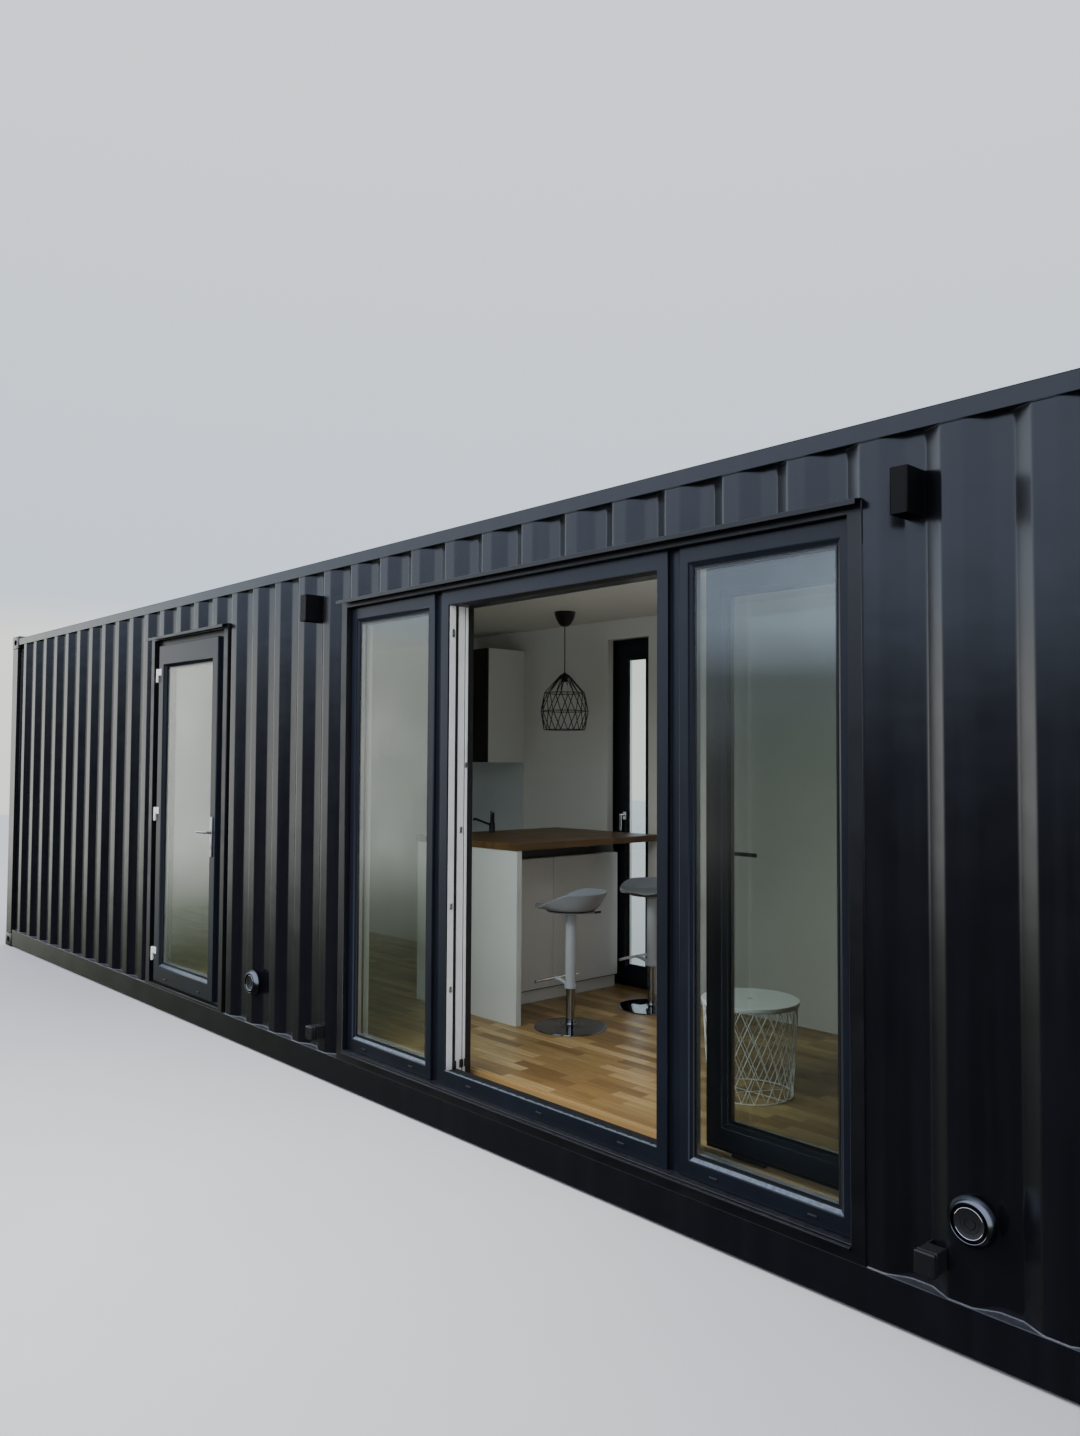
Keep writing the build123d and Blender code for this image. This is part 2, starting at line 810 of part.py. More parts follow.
def back_window_handle():
    x = window_in_x0 + back_member * 0.7
    face = back - back_frame_recess - frame_depth
    wide, stand, grip = window_handle_width, window_handle_stand, window_handle_grip
    z = window_handle_height
    handle = slab(x - wide / 2, x + wide / 2, face - grip / 2, face, z - wide, z + wide)
    handle += slab(x - grip / 2, x + grip / 2, face - stand, face, z, z + grip)
    handle += slab(x - grip / 2, x + grip / 2, face - stand, face - stand + grip,
                   z - window_handle_length, z + grip)
    return handle


def valley_near(place):
    """The middle of the corrugation's valley that lies nearest to a place along the wall."""
    middle = wave_start + outer_flat + (wave_pitch - outer_flat - inner_flat) / 2 + inner_flat / 2
    return middle + wave_pitch * round((place - middle) / wave_pitch)


def against_sheet(shape, x0, x1, z0, z1):
    """The shape with its back cut to the outline of the corrugated wall behind it."""
    line = wave_line(x0, x1, left + wave_start, wave_pitch, outer_flat, inner_flat, wave_depth)
    outer = [(x, sheet_face + deep) for x, deep in line]
    behind = make_face(Polyline(*outer, (x1, sheet_back + 1), (x0, sheet_back + 1), close=True))
    return shape - Pos(0, 0, z0) * extrude(behind, z1 - z0, dir=(0, 0, 1))


def wall_lamps():
    lamps = []
    foot = surround_top - lamp_drop
    half = lamp_width / 2
    lamp_back = sheet_face + wave_depth
    middle = lamp_back - lamp_depth / 2
    opening = lamp_opening / 2
    for place in lamp_places:
        x = left + valley_near(place)
        lamp = slab(x - half, x + half, lamp_back - lamp_depth, lamp_back, foot, foot + lamp_height)
        for z in (foot, foot + lamp_height):
            lamp -= slab(x - opening, x + opening, middle - opening, middle + opening,
                         z - lamp_recess, z + lamp_recess)
        lamps.append(lamp)
    return lamps


def wall_inlets():
    """Round air valves, each a raised ring round a disc with a gap between them."""
    inlets = []
    y0 = sheet_face - inlet_depth
    y1 = sheet_face - inlet_back
    z = inlet_height
    inner = inlet_radius - inlet_ring
    for place in inlet_places:
        x = left + place
        inlet = across_rod(x, y0, z, inlet_radius, inlet_depth, round_sides)
        inlet -= across_rod(x, y0 - 1, z, inner, y1 - y0 + 1, round_sides)
        inlet += across_rod(x, y0, z, inner - inlet_gap, inlet_depth, round_sides)
        inlets.append(inlet)
    return inlets


def socket_boxes():
    boxes = []
    half = socket_width / 2
    box_back = sheet_face + wave_depth
    face = box_back - socket_depth
    top = socket_foot + socket_height
    for place in socket_places:
        x = left + place
        x0, x1 = x - half - socket_lip, x + half + socket_lip
        box = slab(x - half, x + half, face + socket_lid, box_back, socket_foot, top)
        lid = slab(x0, x1, face, face + socket_lid, socket_foot - socket_lip, top + socket_lip)
        hinge = slab(x - half / 2, x + half / 2, face + socket_lid, face + 2 * socket_lid,
                     top, top + socket_lip)
        boxes.append(against_sheet(box + lid + hinge, x0, x1, socket_foot, top))
    return boxes


# Furniture
bar_x0 = left + bar_left
bar_x1 = bar_x0 + bar_depth
bar_end_x1 = bar_x1 + bar_overhang
bar_y0 = front + bar_front


def bar_cabinet():
    top = bar_height - grip_height
    body = slab(bar_x0, bar_x1, bar_y0, inner_back, floor_height + plinth_height, top)
    body += slab(bar_x0, bar_x1 - grip_depth, bar_y0, inner_back, top, bar_height)
    plinth = slab(bar_x0, bar_x1 - plinth_setback, bar_y0, inner_back, floor_height,
                  floor_height + plinth_height)
    panel = slab(bar_x0, bar_end_x1, bar_y0, bar_y0 + end_panel_thickness, floor_height, bar_height)
    return body + plinth + panel


def worktop():
    return slab(bar_x0 - worktop_lap, bar_end_x1 + worktop_lap, bar_y0 - worktop_lap, inner_back,
                bar_height, bar_height + worktop_thickness)


def tap():
    """An upright mixer with a spout that slants up to the left."""
    x, y = left + tap_place[0], front + tap_place[1]
    z = bar_height + worktop_thickness
    base = rod(x, y, z, 2 * tap_radius, tap_radius)
    body = rod(x, y, z, tap_radius, tap_height)
    spout = bar((x, y, z + spout_height), (x - spout_reach, y, z + spout_height + spout_rise),
                spout_radius, small_sides)
    return base + body + spout


def wall_cabinet():
    x1 = left + cabinet_right
    top = ceiling_height - cabinet_drop
    return slab(x1 - cabinet_width, x1, inner_back - cabinet_depth, inner_back, top - cabinet_height, top)


def wire_net(levels, sides):
    """Straight wires round each level and crossing between levels, turned half a step each time."""

    def corner(level, step):
        z, radius, x, y = levels[level]
        turn = 360 * (step + level / 2) / sides
        point = Vector(radius, 0, 0).rotate(Axis.Z, turn)
        return (x + point.X, y + point.Y, z)

    bars = []
    for level in range(len(levels)):
        for step in range(sides):
            bars.append(bar(corner(level, step), corner(level, step + 1), wire / 2))
            if level:
                bars.append(bar(corner(level - 1, step), corner(level, step), wire / 2))
                bars.append(bar(corner(level - 1, step + 1), corner(level, step), wire / 2))
    return bars


def pendant_lamp():
    """A ceiling cup, a flex, a holder with its bulb and an open wire shade round them."""
    x, y = left + pendant_place[0], front + pendant_place[1]
    holder_foot = shade_top - holder_height
    cup = Pos(x, y, ceiling_height) * extrude(
        RegularPolygon(cup_radius, rod_sides), cup_height, dir=(0, 0, -1), taper=cup_taper)
    flex = rod(x, y, shade_top - 1, flex_radius, ceiling_height - shade_top + 1, small_sides)
    holder = rod(x, y, holder_foot, holder_radius, holder_height, small_sides)
    bulb = rod(x, y, holder_foot - bulb_height, bulb_radius, bulb_height, small_sides)
    levels = [(shade_top - drop * shade_height, wide * shade_radius, x, y) for drop, wide in shade_levels]
    bars = wire_net(levels, shade_sides)
    hub = (x, y, levels[0][0])
    for step in range(shade_sides):
        point = Vector(levels[0][1], 0, 0).rotate(Axis.Z, 360 * step / shade_sides)
        bars.append(bar((x + point.X, y + point.Y, levels[0][0]), hub, wire / 2))
    lamp = cup + flex + holder + bulb
    return lamp.fuse(*bars)


def stool_seat():
    """A dished seat with a high lip on the side away from the bar."""
    outer = loft([RegularPolygon(stool_seat_radius * 0.8, rod_sides),
                  Pos(0, 0, stool_lip) * RegularPolygon(stool_seat_radius, rod_sides)])
    inner = loft([Pos(0, 0, stool_seat_plate) * RegularPolygon(stool_seat_radius * 0.78, rod_sides),
                  Pos(0, 0, stool_lip + 1) * RegularPolygon(stool_seat_radius - stool_seat_plate, rod_sides)])
    reach = 3 * stool_seat_radius
    slant = Polyline((-reach, stool_lip * stool_lip_start), (0, stool_lip * stool_lip_start),
                     (stool_seat_radius, stool_lip), (stool_seat_radius, 2 * stool_lip),
                     (-reach, 2 * stool_lip), close=True)
    above = Pos(0, reach / 2, 0) * extrude(Plane.XZ * make_face(slant), reach, dir=(0, -1, 0))
    return outer - inner - above


def bar_stools():
    """Round foot, gas lift, foot rest and seat of each stool."""
    stools = []
    floor = floor_height
    seat = stool_seat()
    half = foot_rest_size / 2
    for place_x, place_y, rise in stool_places:
        x, y = left + place_x, front + place_y
        seat_z = floor + stool_seat_height + rise
        stool = rod(x, y, floor, stool_base_radius, stool_base_thickness, round_sides)
        stool += rod(x, y, floor, stool_lift_radius, stool_lift_height + 1)
        stool += rod(x, y, floor + stool_lift_height, stool_column_radius, seat_z - floor - stool_lift_height)
        stool += Pos(x, y, seat_z) * seat
        rest_z = floor + foot_rest_height
        end = x - foot_rest_reach
        stool += slab(end, x, y - half, y + half, rest_z - half, rest_z + half)
        stool += slab(end - foot_rest_size, end, y - foot_rest_width / 2, y + foot_rest_width / 2,
                      rest_z - half, rest_z + half)
        stools.append(stool)
    return stools


def side_table():
    """A tapered basket of crossed wires with a flat round lid."""
    x, y = left + table_place[0], front + table_place[1]
    lid_foot = floor_height + table_height - lid_thickness
    foot = floor_height + wire / 2
    middle_radius = (table_foot_radius + table_radius) / 2
    levels = [(foot, table_foot_radius - wire, x, y),
              ((foot + lid_foot) / 2, middle_radius - wire, x, y),
              (lid_foot, table_radius - wire, x, y)]
    lid = rod(x, y, lid_foot, table_radius, lid_thickness, round_sides)
    return lid.fuse(*wire_net(levels, table_sides))


def shape_of(part):
    """One shape for a node, whether it is given as one piece or as a list."""
    if isinstance(part, list):
        return Compound(children=part)
    return part


parts = {
    "corner_castings": corner_castings(),
    "corner_posts": corner_posts(),
    "bottom_side_rails": bottom_side_rails(),
    "top_side_rails": top_side_rails(),
    "end_rails": end_rails(),
    "cross_members": cross_members(),
    "roof_sheet": roof_sheet(),
    "floor_deck": floor_deck(),
    "floor_insulation": floor_layer(deck_top, floor_height - oak_thickness),
    "oak_floor": floor_layer(floor_height - oak_thickness, floor_height),
    "end_walls": end_walls(),
    "front_wall_left": front_sheet(wall_x0, door_x0, rail_top, top_rail_foot),
    "front_wall_middle": front_sheet(door_x1, glazing_x0, rail_top, top_rail_foot),
    "front_wall_right": front_sheet(glazing_x1, wall_x1, rail_top, top_rail_foot),
    "front_wall_headers": front_wall_headers(),
    "back_wall_left": back_sheet(wall_x0, window_x0, rail_top, top_rail_foot),
    "back_wall_right": back_sheet(window_x1, wall_x1, rail_top, top_rail_foot),
    "back_wall_header": back_sheet(window_x0, window_x1, back_window_top + ledge_plate, top_rail_foot),
    "front_lining_walls": front_lining_walls(),
    "front_lining_headers": front_lining_headers(),
    "back_lining_walls": back_lining_walls(),
    "back_lining_header": back_lining_header(),
    "end_linings": end_linings(),
    "ceiling_lining": ceiling_lining(),
    "door_surround": door_surround(),
    "glazing_surround": glazing_surround(),
    "back_window_surround": back_window_surround(),
    "drip_ledges": drip_ledges(),
    "reveal_jambs": reveal_jambs(),
    "reveal_heads": reveal_heads(),
    "door_frame": door_frame(),
    "left_light_frame": light_frame(glazing_in_x0),
    "right_light_frame": light_frame(fixed_right_x0),
    "sliding_frame": sliding_frame(),
    "frame_couplers": frame_couplers(),
    "back_window_frame": back_window_frame(),
    "back_window_handle": back_window_handle(),
    "fixed_panes": fixed_panes(),
    "entrance_leaf": entrance_leaf(),
    "entrance_glass": entrance_glass(),
    "entrance_hinges": entrance_hinges(),
    "frame_hinges": frame_hinges(),
    "entrance_handle": entrance_handle(),
    "sliding_leaf": sliding_leaf(),
    "sliding_glass": sliding_glass(),
    "sliding_handle": sliding_handle(),
    "sliding_carriages": sliding_carriages(),
    "slide_track": slide_track(),
    "slide_guide": slide_guide(),
    "wall_lamps": wall_lamps(),
    "wall_inlets": wall_inlets(),
    "socket_boxes": socket_boxes(),
    "bar_cabinet": bar_cabinet(),
    "worktop": worktop(),
    "tap": tap(),
    "wall_cabinet": wall_cabinet(),
    "pendant_lamp": pendant_lamp(),
    "bar_stools": bar_stools(),
    "side_table": side_table(),
}

os.makedirs("parts", exist_ok=True)
for name, part in parts.items():
    export_step(shape_of(part), f"parts/{name}.step")
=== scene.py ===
import math

import bmesh
import bpy
from mathutils import Matrix, Vector


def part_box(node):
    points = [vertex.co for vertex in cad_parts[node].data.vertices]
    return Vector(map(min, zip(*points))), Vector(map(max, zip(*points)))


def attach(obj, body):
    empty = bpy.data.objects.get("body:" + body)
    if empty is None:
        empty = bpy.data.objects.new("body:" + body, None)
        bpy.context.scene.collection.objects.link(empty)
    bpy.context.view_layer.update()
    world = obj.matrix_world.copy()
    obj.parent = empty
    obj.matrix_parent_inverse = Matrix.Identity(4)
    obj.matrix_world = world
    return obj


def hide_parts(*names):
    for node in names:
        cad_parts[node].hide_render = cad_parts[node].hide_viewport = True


bl_info = {
    "name": "Container cabin",
    "version": (1, 0, 0),
    "blender": (4, 5, 0),
    "location": "3D View > Sidebar > Cabin",
    "description": "Dresses the frame of a shipping container cabin with its visible pieces and finishes",
    "category": "Add Mesh",
}

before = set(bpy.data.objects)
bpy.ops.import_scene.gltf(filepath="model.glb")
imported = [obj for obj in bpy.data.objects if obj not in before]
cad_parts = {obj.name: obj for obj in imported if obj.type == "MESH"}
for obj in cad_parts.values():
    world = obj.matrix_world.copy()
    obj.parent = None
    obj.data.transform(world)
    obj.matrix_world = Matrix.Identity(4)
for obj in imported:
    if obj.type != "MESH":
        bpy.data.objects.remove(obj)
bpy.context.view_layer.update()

# Planes read from the frame
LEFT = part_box("corner_castings")[0][0]
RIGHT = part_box("corner_castings")[1][0]
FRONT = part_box("door_surround")[0][1]
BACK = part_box("back_window_surround")[1][1]
RAIL_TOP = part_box("bottom_side_rails")[1][2]
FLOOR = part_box("oak_floor")[1][2]
SHEET_FACE = FRONT + 0.006

# Sizes that several pieces share
PANE = 0.028  # thickness of a double pane
REACH = 0.070  # depth of a window member
BEAD = 0.014  # width of the sloping bead beside a pane
FLAT = 0.054  # width of the flat steel round an opening
OUTWARD, INWARD = 90, -90  # tilts that turn Z out of the front wall or into the room

made_once = {}


def once(maker, *given):
    """What a maker returns, made the first time that it is asked for."""
    if (maker, given) not in made_once:
        made_once[maker, given] = maker(*given)
    return made_once[maker, given]


# Meshes

class Builder:
    """Gathers the faces of one piece, each part of it with its own finish."""

    def __init__(self):
        self.mesh = bmesh.new()
        self.finishes = []

    def slot_of(self, finish):
        """The number of a finish among those of the piece."""
        if finish not in self.finishes:
            self.finishes.append(finish)
        return self.finishes.index(finish)

    def add(self, part):
        """Adds a finished part and frees it."""
        face_outward(part)
        data = bpy.data.meshes.new("part")
        part.to_mesh(data)
        part.free()
        self.mesh.from_mesh(data)
        bpy.data.meshes.remove(data)

    def take(self, part, finish):
        """Adds a part that has one finish all over."""
        slot = self.slot_of(finish)
        for face in part.faces:
            face.material_index = slot
        self.add(part)

    def block(self, low, high, finish, edge=0.002, steps=2):
        """A box with rounded edges between two corners."""
        part = cube(low, high)
        round_edges(part, edge, steps)
        self.take(part, finish)

    def prism(self, outline, axis, start, end, finish, edge):
        """A flat outline drawn out along an axis, with rounded edges."""
        part = drawn_out(outline, axis, start, end)
        round_edges(part, edge)
        self.take(part, finish)

    def turned(self, profile, place, finish, steps=40, crease=35):
        """A profile of radius and height pairs turned about the Z of a placing matrix."""
        part = bmesh.new()
        closed = profile[0] == profile[-1]
        rings = []
        for radius, high in profile[:-1] if closed else profile:
            turns = [math.tau * k / steps for k in range(steps)] if radius else [0]
            rings.append([part.verts.new(place @ Vector((radius * math.cos(turn), radius * math.sin(turn), high)))
                          for turn in turns])
        join_rings(part, rings + rings[:1] * closed)
        shade(part, crease)
        self.take(part, finish)

    def tube(self, points, radius, finish, sides=14, closed=False, scale=(1, 1)):
        """A round bar that follows points; radius may be one number or one for each point."""
        part = bmesh.new()
        count = len(points)
        spots = [Vector(point) for point in points]
        radii = radius if isinstance(radius, list) else [radius] * count
        rings = []
        across = None
        for k, spot in enumerate(spots):
            before = spots[k - 1] if k or closed else spot
            after = spots[(k + 1) % count] if k < count - 1 or closed else spot
            way = (after - before).normalized()
            across = across or way.orthogonal().normalized()
            across = (across - way * across.dot(way)).normalized()
            other = way.cross(across)
            rings.append([part.verts.new(spot + radii[k] * (scale[0] * math.cos(math.tau * n / sides) * across
                                                            + scale[1] * math.sin(math.tau * n / sides) * other))
                          for n in range(sides)])
        join_rings(part, rings + rings[:1] * closed)
        if not closed:
            part.faces.new(rings[0])
            part.faces.new(rings[-1])
        shade(part, 50)
        self.take(part, finish)

    def mitred(self, low, high, depth, profile, members, finishes, sill=None):
        """Four mitred members round an opening in a wall plane.

        low and high are the outer corners; profile holds (inset, y) pairs measured on a member of nominal
        width, which is the greatest inset; members gives the real widths left, right, foot, head. finishes is
        one finish or one for each step of the profile; sill holds those that only the foot member has.
        """
        part = bmesh.new()
        nominal = max(inset for inset, _ in profile)
        hold = nominal * 0.45

        def shift(inset, width):
            return inset if inset <= hold else inset + width - nominal

        corners = []
        for inset, y in profile:
            left, right, foot, head = (shift(inset, width) for width in members)
            x0, x1, z0, z1 = low[0] + left, high[0] - right, low[2] + foot, high[2] - head
            corners.append([part.verts.new((x, depth + y, z)) for x, z in ((x0, z0), (x1, z0), (x1, z1), (x0, z1))])
        for k in range(len(profile)):
            n = (k + 1) % len(profile)
            finish = finishes if isinstance(finishes, str) else finishes[k]
            for c in range(4):
                d = (c + 1) % 4
                face = part.faces.new((corners[k][c], corners[k][d], corners[n][d], corners[n][c]))
                face.smooth = math.dist(profile[k], profile[n]) < 0.0045
                face.material_index = self.slot_of(sill.get(k, finish) if sill and c == 0 else finish)
        self.add(part)

    def solid_of(self, node, finish, edge):
        """A CAD node's own shape, merged and given rounded edges."""
        part = bmesh.new()
        part.from_mesh(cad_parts[node].data)
        bmesh.ops.remove_doubles(part, verts=part.verts[:], dist=1e-5)
        bmesh.ops.dissolve_limit(part, angle_limit=math.radians(0.5), verts=part.verts[:], edges=part.edges[:])
        sharp = [e for e in part.edges if len(e.link_faces) == 2 and e.calc_face_angle(0) > math.radians(25)]
        round_edges(part, edge, edges=sharp)
        self.take(part, finish)


def cube(low, high):
    """A plain box between two corners."""
    part = bmesh.new()
    bmesh.ops.create_cube(part, size=1)
    for vert in part.verts:
        vert.co = Vector([l + (c + 0.5) * (h - l) for c, l, h in zip(vert.co, low, high)])
    return part


def drawn_out(outline, axis, start, end):
    """A flat outline drawn out along an axis; the outline lies in the other two axes."""
    part = bmesh.new()
    low, high = ([part.verts.new({"x": (along, a, b), "y": (a, along, b), "z": (a, b, along)}[axis])
                  for a, b in outline] for along in (start, end))
    part.faces.new(low)
    part.faces.new(high)
    join_rings(part, (low, high))
    return part


def face_outward(part):
    """Turns the faces of each closed shell outward."""
    bmesh.ops.recalc_face_normals(part, faces=part.faces[:])
    seen = set()
    for first in part.faces:
        if first in seen:
            continue
        seen.add(first)
        shell = [first]
        for face in shell:
            for edge in face.edges:
                fresh = [near for near in edge.link_faces if near not in seen]
                seen.update(fresh)
                shell += fresh
        origin = first.verts[0].co.copy()
        volume = 0.0
        for face in shell:
            spots = [vert.co - origin for vert in face.verts]
            volume += sum(spots[0].dot(one.cross(two)) for one, two in zip(spots[1:], spots[2:]))
        if volume < 0:
            bmesh.ops.reverse_faces(part, faces=shell)


def round_edges(part, size, steps=2, edges=None):
    """Rounds the given edges, or all; the flats between them stay flat shaded."""
    for face in part.faces:
        face.smooth = False
    if not size:
        return
    made = bmesh.ops.bevel(part, geom=part.edges[:] if edges is None else edges, offset=size, offset_type="OFFSET",
                           segments=steps, profile=0.5, affect="EDGES", clamp_overlap=True)
    for face in made["faces"]:
        face.smooth = True


def join_rings(part, rings):
    """Quads between neighbouring rings, or triangles where a ring is a single point."""
    for first, second in zip(rings, rings[1:]):
        steps = max(len(first), len(second))
        for k in range(steps if steps > 1 else 0):
            n = (k + 1) % steps
            if len(first) == 1:
                part.faces.new((first[0], second[k], second[n]))
            elif len(second) == 1:
                part.faces.new((first[k], first[n], second[0]))
            else:
                part.faces.new((first[k], first[n], second[n], second[k]))


def shade(part, crease):
    """Smooth shading that stops at edges sharper than crease degrees."""
    bmesh.ops.recalc_face_normals(part, faces=part.faces[:])
    for face in part.faces:
        face.smooth = True
    for edge in part.edges:
        edge.smooth = len(edge.link_faces) < 2 or edge.calc_face_angle(0) < math.radians(crease)


def bent(before, point, after, size, steps):
    """The points of a rounded corner between its two neighbours."""
    before, point, after = Vector(before), Vector(point), Vector(after)
    reach = min(size, (before - point).length * 0.45, (after - point).length * 0.45)
    start, end = (point + (other - point).normalized() * reach for other in (before, after))
    shares = [n / steps for n in range(steps + 1)]
    return [(1 - t) ** 2 * start + 2 * t * (1 - t) * point + t ** 2 * end for t in shares]


def rounded(profile, size):
    """A closed outline with its corners rounded."""
    after = [*profile[1:], profile[0]]
    return [tuple(spot) for k, corner in enumerate(profile)
            for spot in bent(profile[k - 1], corner, after[k], size, 3)]


def arc_path(points, size):
    """An open run of points with rounded bends."""
    inner = [spot for three in zip(points, points[1:], points[2:]) for spot in bent(*three, size, 6)]
    return [Vector(points[0]), *inner, Vector(points[-1])]


def stadium(long, wide, steps=10):
    """An outline with straight sides and round ends."""
    radius = wide / 2
    turns = [math.radians(-90 + 180 * k / steps) for k in range(steps + 1)]
    return [(side * (long / 2 - radius + radius * math.cos(turn)), side * radius * math.sin(turn))
            for side in (1, -1) for turn in turns]


def placed(x, y, z, tilt=0):
    """A placing matrix whose Z points up, or OUTWARD, or INWARD."""
    return Matrix.Translation((x, y, z)) @ Matrix.Rotation(math.radians(tilt), 4, "X")


def piece(builder, node, body="cabin", name=None):
    """Makes the gathered faces one object that rides on a body and stands for a CAD node, if one is given."""
    name = name or node + "_dressed"
    mesh = bpy.data.meshes.new(name)
    builder.mesh.to_mesh(mesh)
    builder.mesh.free()
    for finish in builder.finishes:
        mesh.materials.append(finish_of(finish))
    item = bpy.data.objects.new(name, mesh)
    bpy.context.scene.collection.objects.link(item)
    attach(item, body)
    if node:
        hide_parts(node)


def dress(node, finish, edge, body="cabin", name=None):
    """A piece that is a CAD node's own shape with rounded edges."""
    builder = Builder()
    builder.solid_of(node, finish, edge)
    piece(builder, node, body, name)


# Nodes

class Nodes:
    """Adds nodes to a tree and feeds their sockets."""

    def __init__(self, tree):
        self.tree = tree

    def feed(self, socket, value):
        if isinstance(value, bpy.types.NodeSocket):
            self.tree.links.new(value, socket)
        elif socket.type == "RGBA":
            socket.default_value = (*value[:3], 1)
        else:
            socket.default_value = value

    def node(self, kind, settings=None, **inputs):
        made = self.tree.nodes.new(kind)
        for key, value in (settings or {}).items():
            setattr(made, key, value)
        for key, value in inputs.items():
            self.feed(made.inputs[key.replace("_", " ")], value)
        return made

    def maths(self, operation, *values, clamp=False):
        made = self.node("ShaderNodeMath", {"operation": operation, "use_clamp": clamp})
        for socket, value in zip(made.inputs, values):
            self.feed(socket, value)
        return made.outputs[0]

    def split(self, value):
        return self.node("ShaderNodeSeparateXYZ", Vector=value).outputs

    def spread(self, value, low, high, to_low, to_high):
        """A value carried from one range to another and held at its ends."""
        return self.node("ShaderNodeMapRange", Value=value, From_Min=low, From_Max=high, To_Min=to_low,
                         To_Max=to_high).outputs["Result"]

    def ramp(self, value, stops):
        made = self.node("ShaderNodeValToRGB", Fac=value)
        bar = made.color_ramp
        while len(bar.elements) < len(stops):
            bar.elements.new(0.5)
        for element, (spot, colour) in zip(bar.elements, stops):
            element.position = spot
            element.color = (*colour, 1)
        return made.outputs["Color"]

    def mix(self, share, first, second):
        made = self.node("ShaderNodeMix", {"data_type": "RGBA"})
        for number, value in ((0, share), (6, first), (7, second)):
            self.feed(made.inputs[number], value)
        return made.outputs[2]


# Finishes

class Paintwork(Nodes):
    """Builds one material from nodes."""

    def __init__(self, name, colour=(0.5, 0.5, 0.5), rough=0.5, metal=0.0, specular=0.5):
        self.material = bpy.data.materials.new(name)
        self.material.use_nodes = True
        super().__init__(self.material.node_tree)
        self.shader = self.tree.nodes["Principled BSDF"]
        self.place = self.node("ShaderNodeTexCoord").outputs["Object"]
        self.set({"Base Color": colour, "Roughness": rough, "Metallic": metal, "Specular IOR Level": specular,
                  "Coat Roughness": 0.1})

    def set(self, values):
        for name, value in values.items():
            self.feed(self.shader.inputs[name], value)

    def stretched(self, scale, where=None, turn=(0, 0, 0)):
        return self.node("ShaderNodeMapping", Vector=where or self.place, Scale=scale, Rotation=turn).outputs["Vector"]

    def noise(self, scale, detail=3.0, rough=0.55, stretch=None, distortion=0.0, where=None):
        """Fine noise over the piece, or over a stretched copy of its coordinates."""
        where = self.stretched(stretch, where) if stretch else self.place
        return self.node("ShaderNodeTexNoise", Vector=where, Scale=scale, Detail=detail, Roughness=rough,
                         Distortion=distortion).outputs["Fac"]

    def bump(self, height, strength, distance, under=None):
        made = self.node("ShaderNodeBump", Height=height, Strength=strength, Distance=distance)
        if under is not None:
            self.feed(made.inputs["Normal"], under)
        return made.outputs["Normal"]

    def level_dust(self, fine, low, high, least, most):
        """Dust that lies on the faces that look up."""
        up = self.split(self.node("ShaderNodeNewGeometry").outputs["Normal"])[2]
        return self.maths("MULTIPLY", self.maths("MAXIMUM", up, 0.0), self.spread(fine, low, high, least, most))


def painted_steel(name):
    """Near-black satin paint on steel: orange peel, faint runs, and dust on the foot and on level faces."""
    look = Paintwork(name, rough=0.3, specular=0.75)
    height = look.split(look.place)[2]
    runs = look.noise(1.0, 5.0, 0.6, (14, 14, 0.7))
    fine = look.noise(38.0, 4.0, 0.6)
    foot = look.maths("MULTIPLY", look.maths("MAXIMUM", look.spread(height, 0.12, 0.62, 1.0, 0.0), 0.0), fine)
    level = look.level_dust(fine, 0.3, 0.7, 0.35, 0.9)
    dust = look.maths("ADD", look.maths("MULTIPLY", foot, 0.03), look.maths("MULTIPLY", level, 0.8), clamp=True)
    dust = look.maths("ADD", dust, look.spread(runs, 0.45, 0.85, 0.0, 0.06), clamp=True)
    gloss = look.spread(look.noise(5.0, 4.0), 0.3, 0.7, 0.17, 0.24)
    peel = look.bump(look.noise(420.0, 2.0), 0.10, 0.0006)
    look.set({
        "Specular Tint": (0.93, 0.95, 1.0),
        "Base Color": look.mix(dust, (0.0042, 0.0045, 0.0062), (0.062, 0.066, 0.076)),
        "Roughness": look.maths("ADD", gloss, look.maths("MULTIPLY", dust, 0.35), clamp=True),
        "Normal": look.bump(look.noise(2.6, 2.0, 0.5, (1.0, 1.0, 1.6)), 0.10, 0.02, peel)})
    return look.material


def painted_trim(name):
    """Smoother black paint on the flat steel round the openings."""
    look = Paintwork(name, rough=0.3, specular=0.7)
    level = look.level_dust(look.noise(60.0, 4.0, 0.6), 0.35, 0.65, 0.2, 0.8)
    look.set({
        "Base Color": look.mix(look.maths("MULTIPLY", level, 0.5), (0.0028, 0.0030, 0.0045), (0.055, 0.058, 0.066)),
        "Roughness": look.spread(look.noise(7.0, 4.0), 0.3, 0.7, 0.28, 0.42),
        "Normal": look.bump(look.noise(500.0, 2.0), 0.10, 0.0005)})
    return look.material


def pane_glass(name):
    """Clear glass: mostly see-through, with a mirror that grows towards a glancing view."""
    look = Paintwork(name)
    look.tree.nodes.remove(look.shader)
    clear = look.node("ShaderNodeBsdfTransparent", Color=(0.95, 0.975, 0.965))
    mirror = look.node("ShaderNodeBsdfGlossy", Color=(1, 1, 1), Roughness=0.0)
    facing = look.node("ShaderNodeLayerWeight", Blend=0.5).outputs["Facing"]
    share = look.maths("MULTIPLY_ADD", look.maths("POWER", facing, 5.0), 0.93, 0.055)
    smear = look.spread(look.noise(2.2, 4.0, 0.6), 0.45, 0.8, 0.0, 0.03)
    joined = look.node("ShaderNodeMixShader")
    for socket, value in zip(joined.inputs, (look.maths("ADD", share, smear, clamp=True), clear.outputs[0],
                                             mirror.outputs[0])):
        look.feed(socket, value)
    look.feed(look.tree.nodes["Material Output"].inputs["Surface"], joined.outputs[0])
    return look.material


